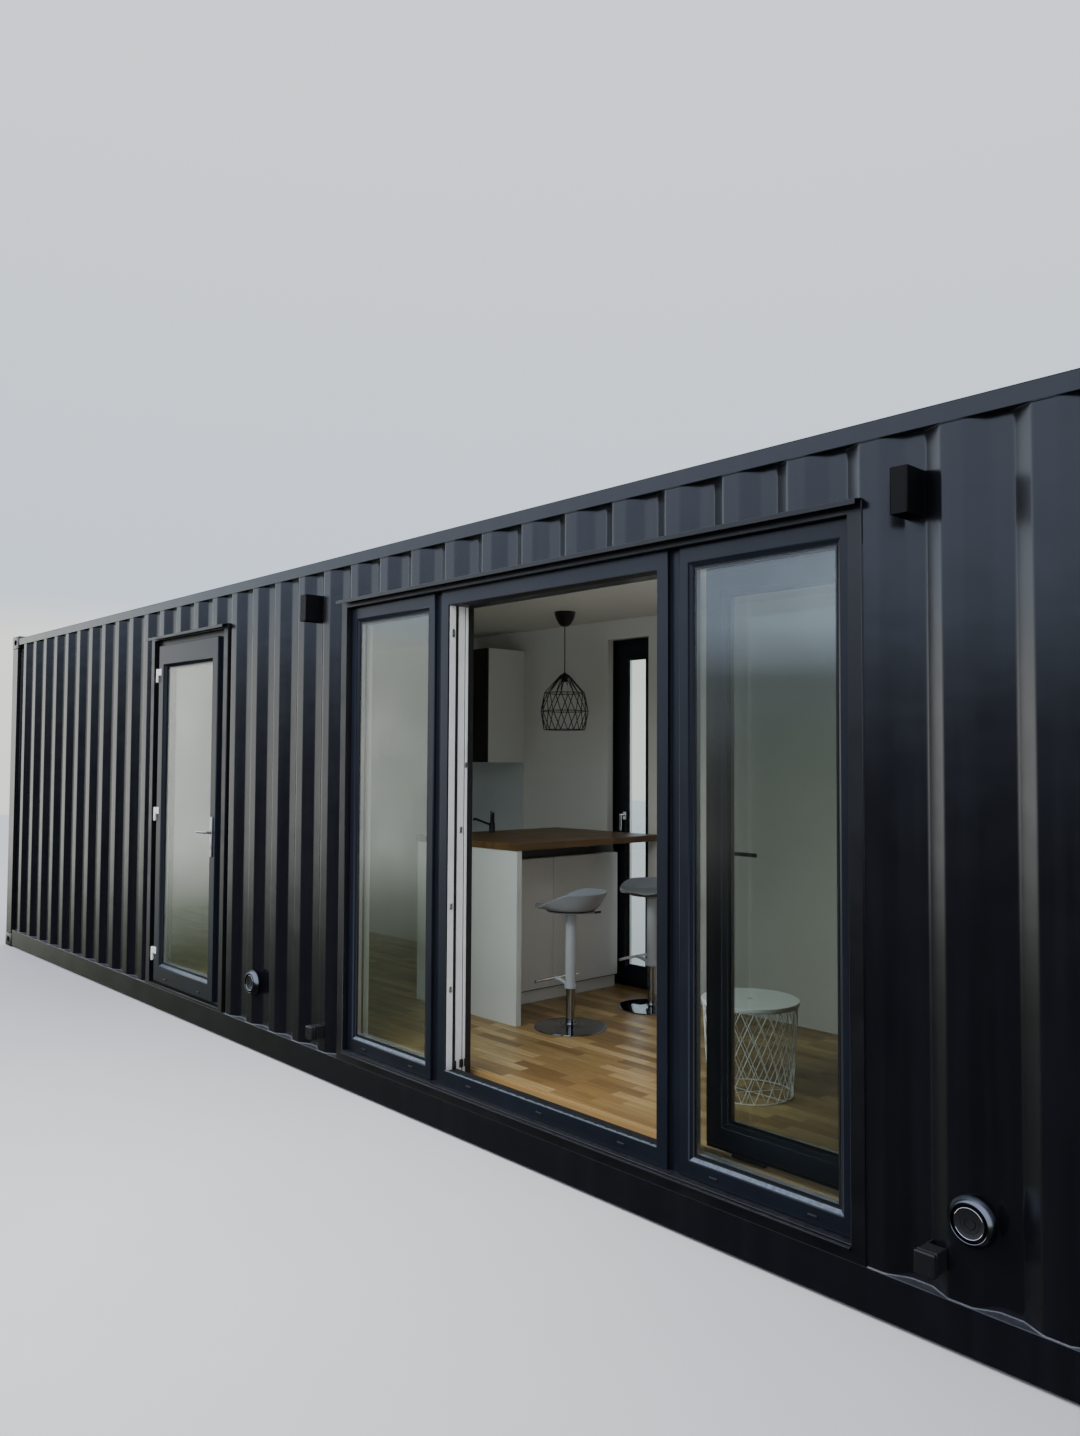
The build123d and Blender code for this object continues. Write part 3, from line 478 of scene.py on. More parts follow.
def oak(look, turn, offset, joint, smooth, size, shade_of_joint, shuffle, stretch, distortion, staves):
    """Glued staves, each its own shade; returns the joints, the shuffled coordinates, the grain and the staves."""
    bricks = look.node("ShaderNodeTexBrick", {"offset": offset, "offset_frequency": 2, "squash": 1.0},
                       Vector=look.stretched((1, 1, 1), turn=turn) if turn else look.place, Scale=1.0,
                       Mortar_Size=joint, Mortar_Smooth=smooth, Bias=0.0, Brick_Width=size[0], Row_Height=size[1],
                       Color1=(0, 0, 0), Color2=(1, 1, 1), Mortar=(shade_of_joint,) * 3)
    share = look.node("ShaderNodeRGBToBW", Color=bricks.outputs["Color"]).outputs[0]
    shift = look.node("ShaderNodeVectorMath", {"operation": "MULTIPLY_ADD"})
    for socket, value in zip(shift.inputs, (bricks.outputs["Color"], shuffle, look.place)):
        look.feed(socket, value)
    grain = look.noise(1.0, 8.0, 0.62, stretch, distortion, shift.outputs[0])
    return bricks.outputs["Fac"], shift.outputs[0], grain, look.ramp(share, staves)


def oak_strips(name):
    """Three-strip oak boards along the room: short staves, each its own shade, with grain and fine joints."""
    look = Paintwork(name, specular=0.45)
    joint, place, grain, stave = oak(
        look, None, 0.37, 0.0006, 0.4, (0.34, 0.068), 0.5, (31.0, 17.0, 5.0), (2.2, 46.0, 46.0), 0.6,
        [(0.0, (0.22, 0.125, 0.036)), (0.3, (0.34, 0.210, 0.066)), (0.6, (0.47, 0.305, 0.108)),
         (0.8, (0.66, 0.47, 0.20)), (1.0, (0.31, 0.185, 0.056))])
    pores = look.noise(1.0, 3.0, 0.6, (26.0, 900.0, 900.0), where=place)
    wood = look.mix(look.spread(grain, 0.30, 0.72, 0.0, 0.55), stave, (0.15, 0.075, 0.022))
    wood = look.mix(look.spread(pores, 0.55, 0.72, 0.0, 0.45), wood, (0.14, 0.07, 0.03))
    low = look.bump(look.maths("SUBTRACT", 1.0, joint), 0.5, 0.0008)
    look.set({"Base Color": look.mix(joint, wood, (0.07, 0.04, 0.02)),
              "Roughness": look.spread(grain, 0.3, 0.7, 0.26, 0.42),
              "Normal": look.bump(pores, 0.12, 0.0006, low)})
    return look.material


def oak_staves(name):
    """Oiled oak worktop, glued up from narrow staves."""
    look = Paintwork(name)
    _, _, grain, stave = oak(
        look, (0, 0, math.radians(90)), 0.43, 0.0004, 0.3, (0.44, 0.042), 0.3, (13.0, 29.0, 7.0), (52.0, 2.4, 52.0),
        0.7, [(0.0, (0.080, 0.042, 0.012)), (0.4, (0.125, 0.068, 0.021)), (0.75, (0.175, 0.100, 0.033)),
              (1.0, (0.100, 0.054, 0.016))])
    look.set({"Base Color": look.mix(look.spread(grain, 0.32, 0.7, 0.0, 0.6), stave, (0.12, 0.055, 0.02)),
              "Roughness": look.spread(grain, 0.3, 0.7, 0.34, 0.5),
              "Normal": look.bump(grain, 0.12, 0.0008)})
    return look.material


def foam_board(name):
    """Pale rigid foam with a cellular cut face."""
    look = Paintwork(name, rough=0.9)
    cells = look.node("ShaderNodeTexVoronoi", Vector=look.place, Scale=600.0).outputs["Distance"]
    look.set({"Base Color": look.ramp(look.noise(12.0), [(0.3, (0.55, 0.49, 0.34)), (0.7, (0.68, 0.62, 0.46))]),
              "Normal": look.bump(cells, 0.4, 0.001)})
    return look.material


def plain(name):
    """A finish from the table: a base, and noises that vary its tone, its gloss and its skin."""
    base, tone, gloss, skin = PLAIN[name]
    look = Paintwork(name, **base)
    if tone:
        grain, low, high, *start = tone
        look.set({"Base Color": look.ramp(look.noise(*grain), [(start[0] if start else 0.3, low), (0.7, high)])})
    if gloss:
        grain, low, high, *span = gloss
        look.set({"Roughness": look.spread(look.noise(*grain), *(span or (0.3, 0.7)), low, high)})
    if skin:
        grain, strength, distance = skin
        look.set({"Normal": look.bump(look.noise(*grain), strength, distance)})
    return look.material


# Each row: base; tone (noise, two colours, where the first ends); gloss (noise, two roughnesses, their span);
# skin (noise, strength, depth). A noise is its scale, detail, roughness, stretch and distortion.
PLAIN = {
    # A bead lighter than the black paint: a painted highlight of the light on the bottom rail's top.
    "weld": (dict(rough=0.45), ((260, 3), (0.06, 0.065, 0.075), (0.20, 0.21, 0.23), 0.35), None,
             ((260, 3), 0.6, 0.002)),
    "frame film": (dict(specular=0.42), ((4, 3), (0.0056, 0.0072, 0.0125), (0.0076, 0.0098, 0.0165)),
                   ((1, 6, 0.65, (900, 900, 60)), 0.26, 0.36), ((1, 6, 0.65, (900, 900, 60)), 0.10, 0.0004)),
    # Frame film made a lighter blue-grey on the lips that face up: a painted highlight of the sky.
    "bead foot": (dict(rough=0.28), ((60, 4), (0.065, 0.085, 0.115), (0.14, 0.17, 0.21)), None,
                  ((60, 4), 0.08, 0.0005)),
    "frame white": (dict(rough=0.32), ((9, 4), (0.74, 0.74, 0.72), (0.83, 0.83, 0.81)), None,
                    ((300,), 0.05, 0.0004)),
    "rubber": (dict(colour=(0.010, 0.010, 0.011)), None, ((200,), 0.52, 0.72), ((700,), 0.12, 0.0004)),
    "black plastic": (dict(colour=(0.012, 0.012, 0.013)), None, ((90,), 0.36, 0.50), ((1400, 2), 0.20, 0.0003)),
    "lamp black": (dict(colour=(0.003, 0.003, 0.0035), specular=0.22), None, ((90,), 0.42, 0.56),
                   ((900, 2), 0.16, 0.0003)),
    "gloss black": (dict(colour=(0.011, 0.011, 0.012)), None, ((70,), 0.18, 0.28), ((500, 2), 0.08, 0.0003)),
    "wall paint": (dict(rough=0.82), ((1.3, 3), (0.64, 0.625, 0.565), (0.69, 0.675, 0.615)), None,
                   ((260, 3), 0.22, 0.0012)),
    "melamine": ({}, ((3, 2), (0.72, 0.72, 0.68), (0.74, 0.74, 0.70)), ((14, 3), 0.12, 0.18),
                 ((500, 2), 0.06, 0.0003)),
    "gloss board": (dict(specular=0.9), ((3, 2), (0.69, 0.71, 0.67), (0.72, 0.74, 0.70)), ((14, 3), 0.07, 0.12),
                    ((3, 2), 0.08, 0.004)),
    # Dark fronts of the wall cabinet; the same colour also paints the shadow under the bar's worktop and the shadow
    # line over its plinth.
    "dark front": (dict(colour=(0.020, 0.017, 0.014)), None, ((16, 3), 0.32, 0.48),
                   ((1, 5, 0.6, (400, 400, 8)), 0.08, 0.0004)),
    "splashback": (dict(rough=0.22), ((2,), (0.56, 0.60, 0.58), (0.60, 0.64, 0.62)), None, None),
    "chrome": (dict(colour=(0.78, 0.79, 0.81), metal=1.0), None, ((40, 4), 0.04, 0.13, 0.35, 0.8), None),
    "ring chrome": (dict(colour=(0.20, 0.22, 0.26), metal=1.0), None, ((40, 4), 0.12, 0.22, 0.35, 0.8), None),
    # Chrome with a darker base: a painted reflection of dark surroundings, used on the stools.
    "dark chrome": (dict(colour=(0.26, 0.27, 0.28), metal=1.0), None, ((40, 4), 0.04, 0.12, 0.35, 0.8), None),
    "brushed metal": (dict(colour=(0.66, 0.67, 0.68), metal=1.0), None,
                      ((1, 5, 0.7, (1400, 1400, 24)), 0.24, 0.42), ((1, 5, 0.7, (1400, 1400, 24)), 0.08, 0.0003)),
    # An oak tone for the slide track and guide, made lighter to offset the shadow the track lies in: partly painted
    # light.
    "oak metal": ({}, ((1, 5, 0.7, (6, 300, 300)), (0.31, 0.195, 0.072), (0.42, 0.275, 0.11)),
                  ((1, 5, 0.7, (6, 300, 300)), 0.34, 0.48), None),
    "hinge white": (dict(colour=(0.82, 0.82, 0.80)), None, ((60,), 0.24, 0.38), ((600,), 0.06, 0.0003)),
    "wire white": (dict(colour=(0.80, 0.81, 0.79)), None, ((80,), 0.32, 0.46), ((900,), 0.10, 0.0003)),
    "seat shell": (dict(rough=0.36), ((6, 3), (0.21, 0.23, 0.25), (0.255, 0.275, 0.295)), None,
                   ((1100, 2), 0.10, 0.0003)),
    "column grey": (dict(colour=(0.40, 0.43, 0.45)), None, ((50,), 0.28, 0.42), None),
    "plywood": (dict(rough=0.6), ((1, 7, 0.65, (3, 60, 60), 0.5), (0.16, 0.085, 0.04), (0.32, 0.19, 0.10)), None,
                ((1, 7, 0.65, (3, 60, 60), 0.5), 0.2, 0.001)),
    "lens": (dict(rough=0.35), ((120,), (0.66, 0.66, 0.62), (0.78, 0.78, 0.74)), None, ((400,), 0.2, 0.0005)),
    "bulb": (dict(rough=0.18), ((30,), (0.55, 0.53, 0.47), (0.66, 0.64, 0.58)), None, None),
    "pale floor": (dict(rough=0.75), ((0.8, 3), (0.78, 0.775, 0.755), (0.82, 0.81, 0.79)), None,
                   ((60,), 0.05, 0.002)),
}
SPECIAL = {"painted steel": painted_steel, "painted trim": painted_trim, "glass": pane_glass,
           "oak strips": oak_strips, "oak staves": oak_staves, "foam": foam_board}


def finish_of(name):
    """The material of that name."""
    return once(SPECIAL.get(name, plain), name)


# Geometry node trees

class Tree(Nodes):
    """Builds one geometry node tree with named inputs."""

    def __init__(self, name, inputs):
        super().__init__(bpy.data.node_groups.new(name, "GeometryNodeTree"))
        face = self.tree.interface
        face.new_socket("Geometry", in_out="OUTPUT", socket_type="NodeSocketGeometry")
        for label, kind, value in (*inputs, ("Finish", "Material", None)):
            socket = face.new_socket(label, in_out="INPUT", socket_type="NodeSocket" + kind)
            if value is not None:
                socket.default_value = value
        self.given = self.node("NodeGroupInput").outputs

    def join(self, *parts):
        both = self.node("GeometryNodeJoinGeometry")
        for part in parts:
            self.tree.links.new(part.outputs[0], both.inputs[0])
        return both

    def finish(self, geometry):
        """Ends the tree in real geometry with its material."""
        real = self.node("GeometryNodeRealizeInstances", Geometry=geometry.outputs[0])
        dressed = self.node("GeometryNodeSetMaterial", Geometry=real.outputs[0], Material=self.given["Finish"])
        self.feed(self.node("NodeGroupOutput").inputs[0], dressed.outputs[0])
        return self.tree


def grown(tree, values, base=None):
    """Runs a tree on a mesh, or on nothing, and returns the plain mesh that it makes."""
    base = base or bpy.data.meshes.new("seed")
    seed = bpy.data.objects.new("seed", base)
    bpy.context.scene.collection.objects.link(seed)
    modifier = seed.modifiers.new("tree", "NODES")
    modifier.node_group = tree
    for item in tree.interface.items_tree:
        if item.in_out == "INPUT" and item.name in values:
            modifier[item.identifier] = values[item.name]
    graph = bpy.context.evaluated_depsgraph_get()
    graph.update()
    mesh = bpy.data.meshes.new_from_object(seed.evaluated_get(graph))
    seed.modifiers.remove(modifier)
    bpy.data.objects.remove(seed)
    bpy.data.meshes.remove(base)
    return mesh


def sheet_tree():
    """A corrugated sheet: X along it, Z up it, Y into it from the crest's face."""
    made = Tree("corrugated sheet", [
        ("Length", "Float", 1.0), ("Height", "Float", 1.0), ("Phase", "Float", 0.0), ("Pitch", "Float", 0.278),
        ("Crest", "Float", 0.072), ("Valley", "Float", 0.070), ("Depth", "Float", 0.036),
        ("Thickness", "Float", 0.002), ("Fade", "Float", 0.0), ("Dents", "Float", 0.0006),
        ("Columns", "Int", 100), ("Rows", "Int", 8), ("Seed", "Float", 3.0)])
    given, maths = made.given, made.maths
    grid = made.node("GeometryNodeMeshGrid", Size_X=given["Length"], Size_Y=given["Height"],
                     Vertices_X=given["Columns"], Vertices_Y=given["Rows"])
    x, y, _ = made.split(made.node("GeometryNodeInputPosition").outputs[0])
    along = maths("MULTIPLY_ADD", given["Length"], 0.5, x)
    start = maths("SUBTRACT", along, maths("MULTIPLY_ADD", given["Crest"], 0.5, given["Phase"]))
    off = maths("PINGPONG", start, maths("MULTIPLY", given["Pitch"], 0.5))
    flats = maths("ADD", given["Crest"], given["Valley"])
    slope = maths("MULTIPLY", maths("SUBTRACT", given["Pitch"], flats), 0.5)
    ease = maths("DIVIDE", maths("MULTIPLY_ADD", given["Crest"], -0.5, off), slope)
    deep = maths("SMOOTH_MAX", maths("SMOOTH_MIN", ease, 1.0, 0.09), 0.0, 0.09)
    edge = maths("MULTIPLY_ADD", given["Height"], 0.5, maths("MULTIPLY", maths("ABSOLUTE", y), -1.0))
    fade = made.node("ShaderNodeMapRange", {"interpolation_type": "SMOOTHSTEP"}, Value=edge, From_Min=-0.001,
                     From_Max=given["Fade"])
    noise = made.node("ShaderNodeTexNoise", {"noise_dimensions": "4D"}, Scale=2.2, Detail=1.0, W=given["Seed"])
    dents = maths("MULTIPLY", maths("SUBTRACT", noise.outputs[0], 0.5), given["Dents"])
    depth = maths("MULTIPLY", maths("MULTIPLY", deep, given["Depth"]), fade.outputs[0])
    spot = made.node("ShaderNodeCombineXYZ", X=along, Y=maths("ADD", depth, dents),
                     Z=maths("MULTIPLY_ADD", given["Height"], 0.5, y))
    waved = made.node("GeometryNodeSetPosition", Geometry=grid.outputs[0], Position=spot.outputs[0])
    thick = made.node("GeometryNodeExtrudeMesh", Mesh=waved.outputs[0], Individual=False,
                      Offset_Scale=maths("MULTIPLY", given["Thickness"], -1.0))
    flipped = made.node("GeometryNodeFlipFaces", Mesh=waved.outputs[0])
    both = made.join(thick, flipped)
    return made.finish(made.node("GeometryNodeMergeByDistance", Geometry=both.outputs[0], Distance=0.00001))


def bead_tree():
    """A weld bead or a wire along the edges of a mesh, with a fixed ripple."""
    made = Tree("bead", [
        ("Input", "Geometry", None), ("Radius", "Float", 0.003), ("Step", "Float", 0.006), ("Sides", "Int", 6),
        ("Ripple", "Float", 0.0), ("Ripple Scale", "Float", 150.0), ("Seed", "Float", 5.0)])
    given = made.given
    line = made.node("GeometryNodeMeshToCurve", Mesh=given["Input"])
    even = made.node("GeometryNodeResampleCurve", {"mode": "LENGTH"}, Curve=line.outputs[0], Length=given["Step"])
    ring = made.node("GeometryNodeCurvePrimitiveCircle", Resolution=given["Sides"], Radius=given["Radius"])
    swept = made.node("GeometryNodeCurveToMesh", Curve=even.outputs[0], Profile_Curve=ring.outputs[0],
                      Fill_Caps=True)
    noise = made.node("ShaderNodeTexNoise", {"noise_dimensions": "4D"}, Scale=given["Ripple Scale"], Detail=2.0,
                      W=given["Seed"])
    ripple = made.maths("MULTIPLY", made.maths("SUBTRACT", noise.outputs[0], 0.5), given["Ripple"])
    push = made.node("ShaderNodeVectorMath", {"operation": "SCALE"}, Scale=ripple,
                     Vector=made.node("GeometryNodeInputNormal").outputs[0])
    return made.finish(made.node("GeometryNodeSetPosition", Geometry=swept.outputs[0], Offset=push.outputs[0]))


def screw_tree():
    """A domed screw head on every vertex of a mesh, facing one way."""
    made = Tree("screw heads", [
        ("Input", "Geometry", None), ("Radius", "Float", 0.004), ("Height", "Float", 0.0016),
        ("Way", "Vector", (0.0, 0.0, 1.0))])
    given, maths = made.given, made.maths
    head = made.node("GeometryNodeMeshCylinder", Vertices=14, Radius=given["Radius"], Depth=given["Height"])
    dome = made.node("GeometryNodeMeshCone", Vertices=14, Radius_Top=maths("MULTIPLY", given["Radius"], 0.35),
                     Radius_Bottom=maths("MULTIPLY", given["Radius"], 0.92),
                     Depth=maths("MULTIPLY", given["Height"], 0.7))
    lift = made.node("ShaderNodeCombineXYZ", Z=maths("MULTIPLY", given["Height"], 0.5))
    raised = made.node("GeometryNodeTransform", Geometry=dome.outputs[0], Translation=lift.outputs[0])
    turn = made.node("FunctionNodeAlignEulerToVector", {"axis": "Z"}, Vector=given["Way"])
    points = made.node("GeometryNodeMeshToPoints", Mesh=given["Input"])
    return made.finish(made.node("GeometryNodeInstanceOnPoints", Points=points.outputs[0],
                                 Instance=made.join(head, raised).outputs[0], Rotation=turn.outputs[0]))


def bare_mesh(spots, edges=()):
    """A mesh without faces: the path of a bead or the places of screws."""
    mesh = bpy.data.meshes.new("bare")
    mesh.from_pydata([tuple(spot) for spot in spots], edges, [])
    return mesh


def line(points):
    return bare_mesh(points, [(k, k + 1) for k in range(len(points) - 1)])


def add_grown(builder, tree, values, finish, base=None, place=None, crease=40):
    """Adds what a tree grows to a piece, moved to its place."""
    mesh = grown(once(tree), {**values, "Finish": finish_of(finish)}, base)
    part = bmesh.new()
    part.from_mesh(mesh)
    bpy.data.meshes.remove(mesh)
    part.transform(place or Matrix())
    shade(part, crease)
    builder.take(part, finish)


def add_bead(builder, path, finish, radius, step=0.4, sides=6, ripple=0.0, crease=40):
    """A bead or wire along a path; a step longer than its edges keeps them straight."""
    add_grown(builder, bead_tree, {"Radius": radius, "Step": step, "Sides": sides, "Ripple": ripple}, finish, path,
              crease=crease)


def add_screws(builder, spots, way, finish="chrome", radius=0.0035):
    """Screw heads at the given spots, all facing one way."""
    values = {"Radius": radius, "Height": radius * 0.4, "Way": tuple(float(share) for share in way)}
    add_grown(builder, screw_tree, values, finish, bare_mesh(spots))


# Sizes that a user may change

def length(label, about, value):
    return bpy.props.FloatProperty(name=label, description=about, default=value, unit="LENGTH")


class CabinShellSettings(bpy.types.PropertyGroup):
    pitch: length("Wave pitch", "Distance from one corrugation to the next", 0.278)
    crest: length("Crest", "Width of the outer flat of a corrugation", 0.072)
    valley: length("Valley", "Width of the inner flat of a corrugation", 0.070)
    depth: length("Wave depth", "Depth of a corrugation", 0.036)
    start: length("First crest", "Distance from the left end to the first full crest", 0.327)
    sheet: length("Sheet", "Thickness of the corrugated steel", 0.002)
    bead: length("Weld bead", "Radius of the weld bead along the rails", 0.0035)
    edge: length("Edge", "Rounding of the steel edges", 0.003)


class CabinOpeningSettings(bpy.types.PropertyGroup):
    glass: length("Glass", "Thickness of one glass sheet", 0.004)
    spacer: length("Spacer", "Width of the spacer bar between two glass sheets", 0.012)
    gasket: length("Gasket", "Width of the rubber line round a pane", 0.004)


class CabinRoomSettings(bpy.types.PropertyGroup):
    # This height takes in the worktop's painted shadow below the real grip recess.
    grip_and_shadow: length("Grip recess", "Height of the dark recess under the bar's worktop", 0.098)
    plinth: length("Plinth", "Height of the bar cabinet's plinth", 0.082)
    wire: length("Shade wire", "Radius of the lamp shade's wires", 0.0028)
    basket: length("Basket wire", "Radius of the side table's wires", 0.0022)


class CabinStageSettings(bpy.types.PropertyGroup):
    floor: length("Floor size", "Side of the studio floor", 60.0)
    sky: bpy.props.FloatProperty(name="Sky", description="Strength of the soft studio light", default=1.2)


def settings():
    return bpy.context.scene


# Shell

def wave_depth(place):
    """Depth of the corrugated front's face at a distance from the left end."""
    shell = settings().cabin_shell
    slope = (shell.pitch - shell.crest - shell.valley) / 2
    along = (place - shell.start) % shell.pitch
    if along <= shell.crest:
        return 0.0
    if along <= shell.crest + slope:
        return shell.depth * (along - shell.crest) / slope
    if along <= shell.crest + slope + shell.valley:
        return shell.depth
    return shell.depth * (shell.pitch - along) / slope


def wave_path(x0, x1, z):
    """A line along the face of the corrugated front at one height."""
    spots = []
    x = x0
    while x < x1:
        spots.append(x)
        x += 0.0085
    return line([(x, SHEET_FACE + wave_depth(x - LEFT), z) for x in (*spots, x1)])


def add_sheet(builder, place, long, tall, spacing, rows, **values):
    """One corrugated sheet, its waves drawn with points a spacing apart."""
    shell = settings().cabin_shell
    values = {"Length": long, "Height": tall, "Pitch": shell.pitch, "Crest": shell.crest, "Valley": shell.valley,
              "Depth": shell.depth, "Thickness": shell.sheet, "Columns": round(long / spacing), "Rows": rows, **values}
    add_grown(builder, sheet_tree, values, "painted steel", place=place)


def add_front_sheet(builder, x0, x1, z0, z1, rows=9, turn=None):
    """A sheet in the plane of the front, its waves in step with the whole wall."""
    shell = settings().cabin_shell
    place = Matrix.Translation((x0, SHEET_FACE, z0))
    add_sheet(builder, turn @ place if turn else place, x1 - x0, z1 - z0, 0.0055, rows,
              Phase=(shell.start - (x0 - LEFT)) % shell.pitch - shell.pitch)


def front_sheets():
    """Corrugated sheets of the front, and of the back as its mirror image."""
    mirror = Matrix.Translation((0, FRONT + BACK, 0)) @ Matrix.Scale(-1, 4, (0, 1, 0))
    for node in ("front_wall_left", "front_wall_middle", "front_wall_right", "back_wall_left", "back_wall_right",
                 "back_wall_header"):
        low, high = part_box(node)
        builder = Builder()
        add_front_sheet(builder, low[0], high[0], low[2], high[2], turn=mirror if "back" in node else None)
        piece(builder, node, name=node + "_sheet")
    low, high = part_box("front_wall_headers")
    builder = Builder()
    for node in ("door_surround", "glazing_surround"):
        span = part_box(node)
        add_front_sheet(builder, span[0][0], span[1][0], low[2], high[2], 3)
    piece(builder, "front_wall_headers", name="front_headers_sheet")


def end_and_roof_sheets():
    """Corrugated ends, and the roof, whose shallow waves fade out before its sides."""
    low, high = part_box("end_walls")
    builder = Builder()
    for side in (1, -1):
        place = Matrix.Diagonal((side, 1, 1, 1)) @ Matrix.Translation((LEFT + 0.006, low[1], low[2])) @ Matrix(
            ((0, 1, 0, 0), (1, 0, 0, 0), (0, 0, 1, 0), (0, 0, 0, 1)))
        add_sheet(builder, place, high[1] - low[1], high[2] - low[2], 0.0075, 9,
                  Phase=settings().cabin_shell.valley)
    piece(builder, "end_walls", name="end_walls_sheet")

    low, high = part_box("roof_sheet")
    x0, x1 = (corner[0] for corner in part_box("top_side_rails"))
    flat, pitch = 0.070, 0.209
    waves = round((x1 - x0 - flat) / pitch)
    place = Matrix.Translation((x0, low[1], high[2])) @ Matrix(
        ((1, 0, 0, 0), (0, 0, 1, 0), (0, -1, 0, 0), (0, 0, 0, 1)))
    builder = Builder()
    add_sheet(builder, place, x1 - x0, high[1] - low[1], 0.012, 44, Pitch=(x1 - x0 - flat) / waves, Crest=flat,
              Valley=flat, Depth=0.016, Fade=0.13, Dents=0.0)
    casting, lap = 0.158, 0.004
    for start, end in ((low[0], x0 + lap), (x1 - lap, high[0])):
        builder.block((start, low[1] + casting, high[2] - 0.0022), (end, high[1] - casting, high[2] - 0.0002),
                      "painted steel", 0.0004)
    piece(builder, "roof_sheet", name="roof_panel")


def corner_casting():
    """The bottom casting at the front left, with rounded slots through its three outer faces."""
    wall, slot_reach = 0.028, 0.032
    low, high = Vector((LEFT, FRONT, 0)), Vector((LEFT + 0.178, FRONT + 0.162, 0.118))
    middle = (low + high) / 2
    shape = cube(low, high)
    round_edges(shape, 0.006, 3)
    body = temporary(shape)
    inset = Vector((wall, wall, wall))
    cutters = [temporary(cube(low + inset, high - inset))]
    forward = Matrix.Rotation(math.radians(90), 4, "X")
    sideways = Matrix.Rotation(math.radians(90), 4, "Z") @ forward
    for long, wide, origin, turn in ((0.079, 0.051, (middle.x, FRONT, middle.z), forward),
                                     (0.071, 0.051, (LEFT, middle.y, middle.z), sideways),
                                     (0.124, 0.063, (middle.x, middle.y, 0), Matrix())):
        slot = drawn_out(stadium(long, wide), "z", -slot_reach, slot_reach)
        slot.transform(Matrix.Translation(origin) @ turn)
        cutters.append(temporary(slot))
    for cutter in cutters:
        cut = body.modifiers.new("cut", "BOOLEAN")
        cut.object, cut.operation, cut.solver = cutter, "DIFFERENCE", "EXACT"
    graph = bpy.context.evaluated_depsgraph_get()
    graph.update()
    meshes = [bpy.data.meshes.new_from_object(body.evaluated_get(graph))]
    for item in (body, *cutters):
        meshes.append(item.data)
        bpy.data.objects.remove(item)
    part = bmesh.new()
    part.from_mesh(meshes[0])
    for mesh in meshes:
        bpy.data.meshes.remove(mesh)
    shade(part, 28)
    return part


def temporary(part):
    """A linked object that holds a part for a moment."""
    face_outward(part)
    mesh = bpy.data.meshes.new("temporary")
    part.to_mesh(mesh)
    part.free()
    item = bpy.data.objects.new("temporary", mesh)
    bpy.context.scene.collection.objects.link(item)
    return item


def castings():
    """All eight corner castings, each a mirror image of the first."""
    middle = Vector((0, (FRONT + BACK) / 2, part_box("corner_castings")[1][2] / 2))
    builder = Builder()
    for flips in ((x, y, z, 1) for x in (1, -1) for y in (1, -1) for z in (1, -1)):
        part = corner_casting()
        part.transform(Matrix.Translation(middle) @ Matrix.Diagonal(flips) @ Matrix.Translation(-middle))
        builder.take(part, "painted steel")
    piece(builder, "corner_castings")


def weld_beads():
    """Weld beads where the corrugated front meets its rails, and beside the surrounds."""
    bead = settings().cabin_shell.bead
    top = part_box("top_side_rails")[0][2]
    doors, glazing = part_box("door_surround"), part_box("glazing_surround")
    left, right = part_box("front_wall_left")[0][0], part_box("front_wall_right")[1][0]
    builder = Builder()
    for x0, x1 in ((left, doors[0][0]), (doors[1][0], glazing[0][0]), (glazing[1][0], right)):
        # The bead on the bottom rail takes the lighter weld grey: a painted highlight.
        add_bead(builder, wave_path(x0 + 0.002, x1 - 0.002, RAIL_TOP + 0.001), "weld", bead, 0.007, 6, 0.004, 70)
    runs = [wave_path(left, right, top - 0.001)]
    for box in (doors, glazing):
        for x in (box[0][0], box[1][0]):
            runs.append(line([(x, SHEET_FACE + wave_depth(x - LEFT), RAIL_TOP + 0.02 + k * 0.1)
                              for k in range(int((box[1][2] - RAIL_TOP) / 0.1))]))
    for run in runs:
        add_bead(builder, run, "painted steel", bead * 0.7, 0.009, 6, 0.002, 70)
    piece(builder, None, name="weld_beads")


class CABIN_OT_shell(bpy.types.Operator):
    """Corrugated walls, roof, posts, rails, castings and weld beads"""
    bl_idname = "cabin.shell"
    bl_label = "Steel shell"

    def execute(self, context):
        front_sheets()
        end_and_roof_sheets()
        for node in ("corner_posts", "bottom_side_rails", "top_side_rails", "end_rails"):
            dress(node, "painted steel", settings().cabin_shell.edge)
        dress("cross_members", "painted steel", 0.0015)
        castings()
        weld_beads()
        return {"FINISHED"}


# Openings

class CABIN_OT_surrounds(bpy.types.Operator):
    """Flat steel surrounds, the glazing's sill and the drip ledges"""
    bl_idname = "cabin.surrounds"
    bl_label = "Surrounds and ledges"

    def execute(self, context):
        for node, depth, out, members in (("door_surround", FRONT, 1, (FLAT, FLAT, 0.020, 0.024)),
                                          ("glazing_surround", FRONT, 1, (FLAT, FLAT, FLAT, 0.042)),
                                          ("back_window_surround", BACK, -1, (FLAT,) * 4)):
            low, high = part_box(node)
            profile = rounded([(0, 0), (FLAT, 0), (FLAT, 0.110), (0, 0.110)], 0.003)
            builder = Builder()
            builder.mitred(low, high, depth, [(inset, out * y) for inset, y in profile], members, "painted trim")
            if node == "glazing_surround":
                nose, face, z = FRONT - 0.0098, FRONT + 0.033, RAIL_TOP + FLAT
                sill = [(nose, z - 0.010), (face, z), (face, z - 0.010), (nose, z - 0.0198)]
                builder.prism(sill, "x", low[0] + FLAT, high[0] - FLAT, "painted trim", 0.001)
            piece(builder, node)
        dress("drip_ledges", "painted trim", 0.0012)
        return {"FINISHED"}


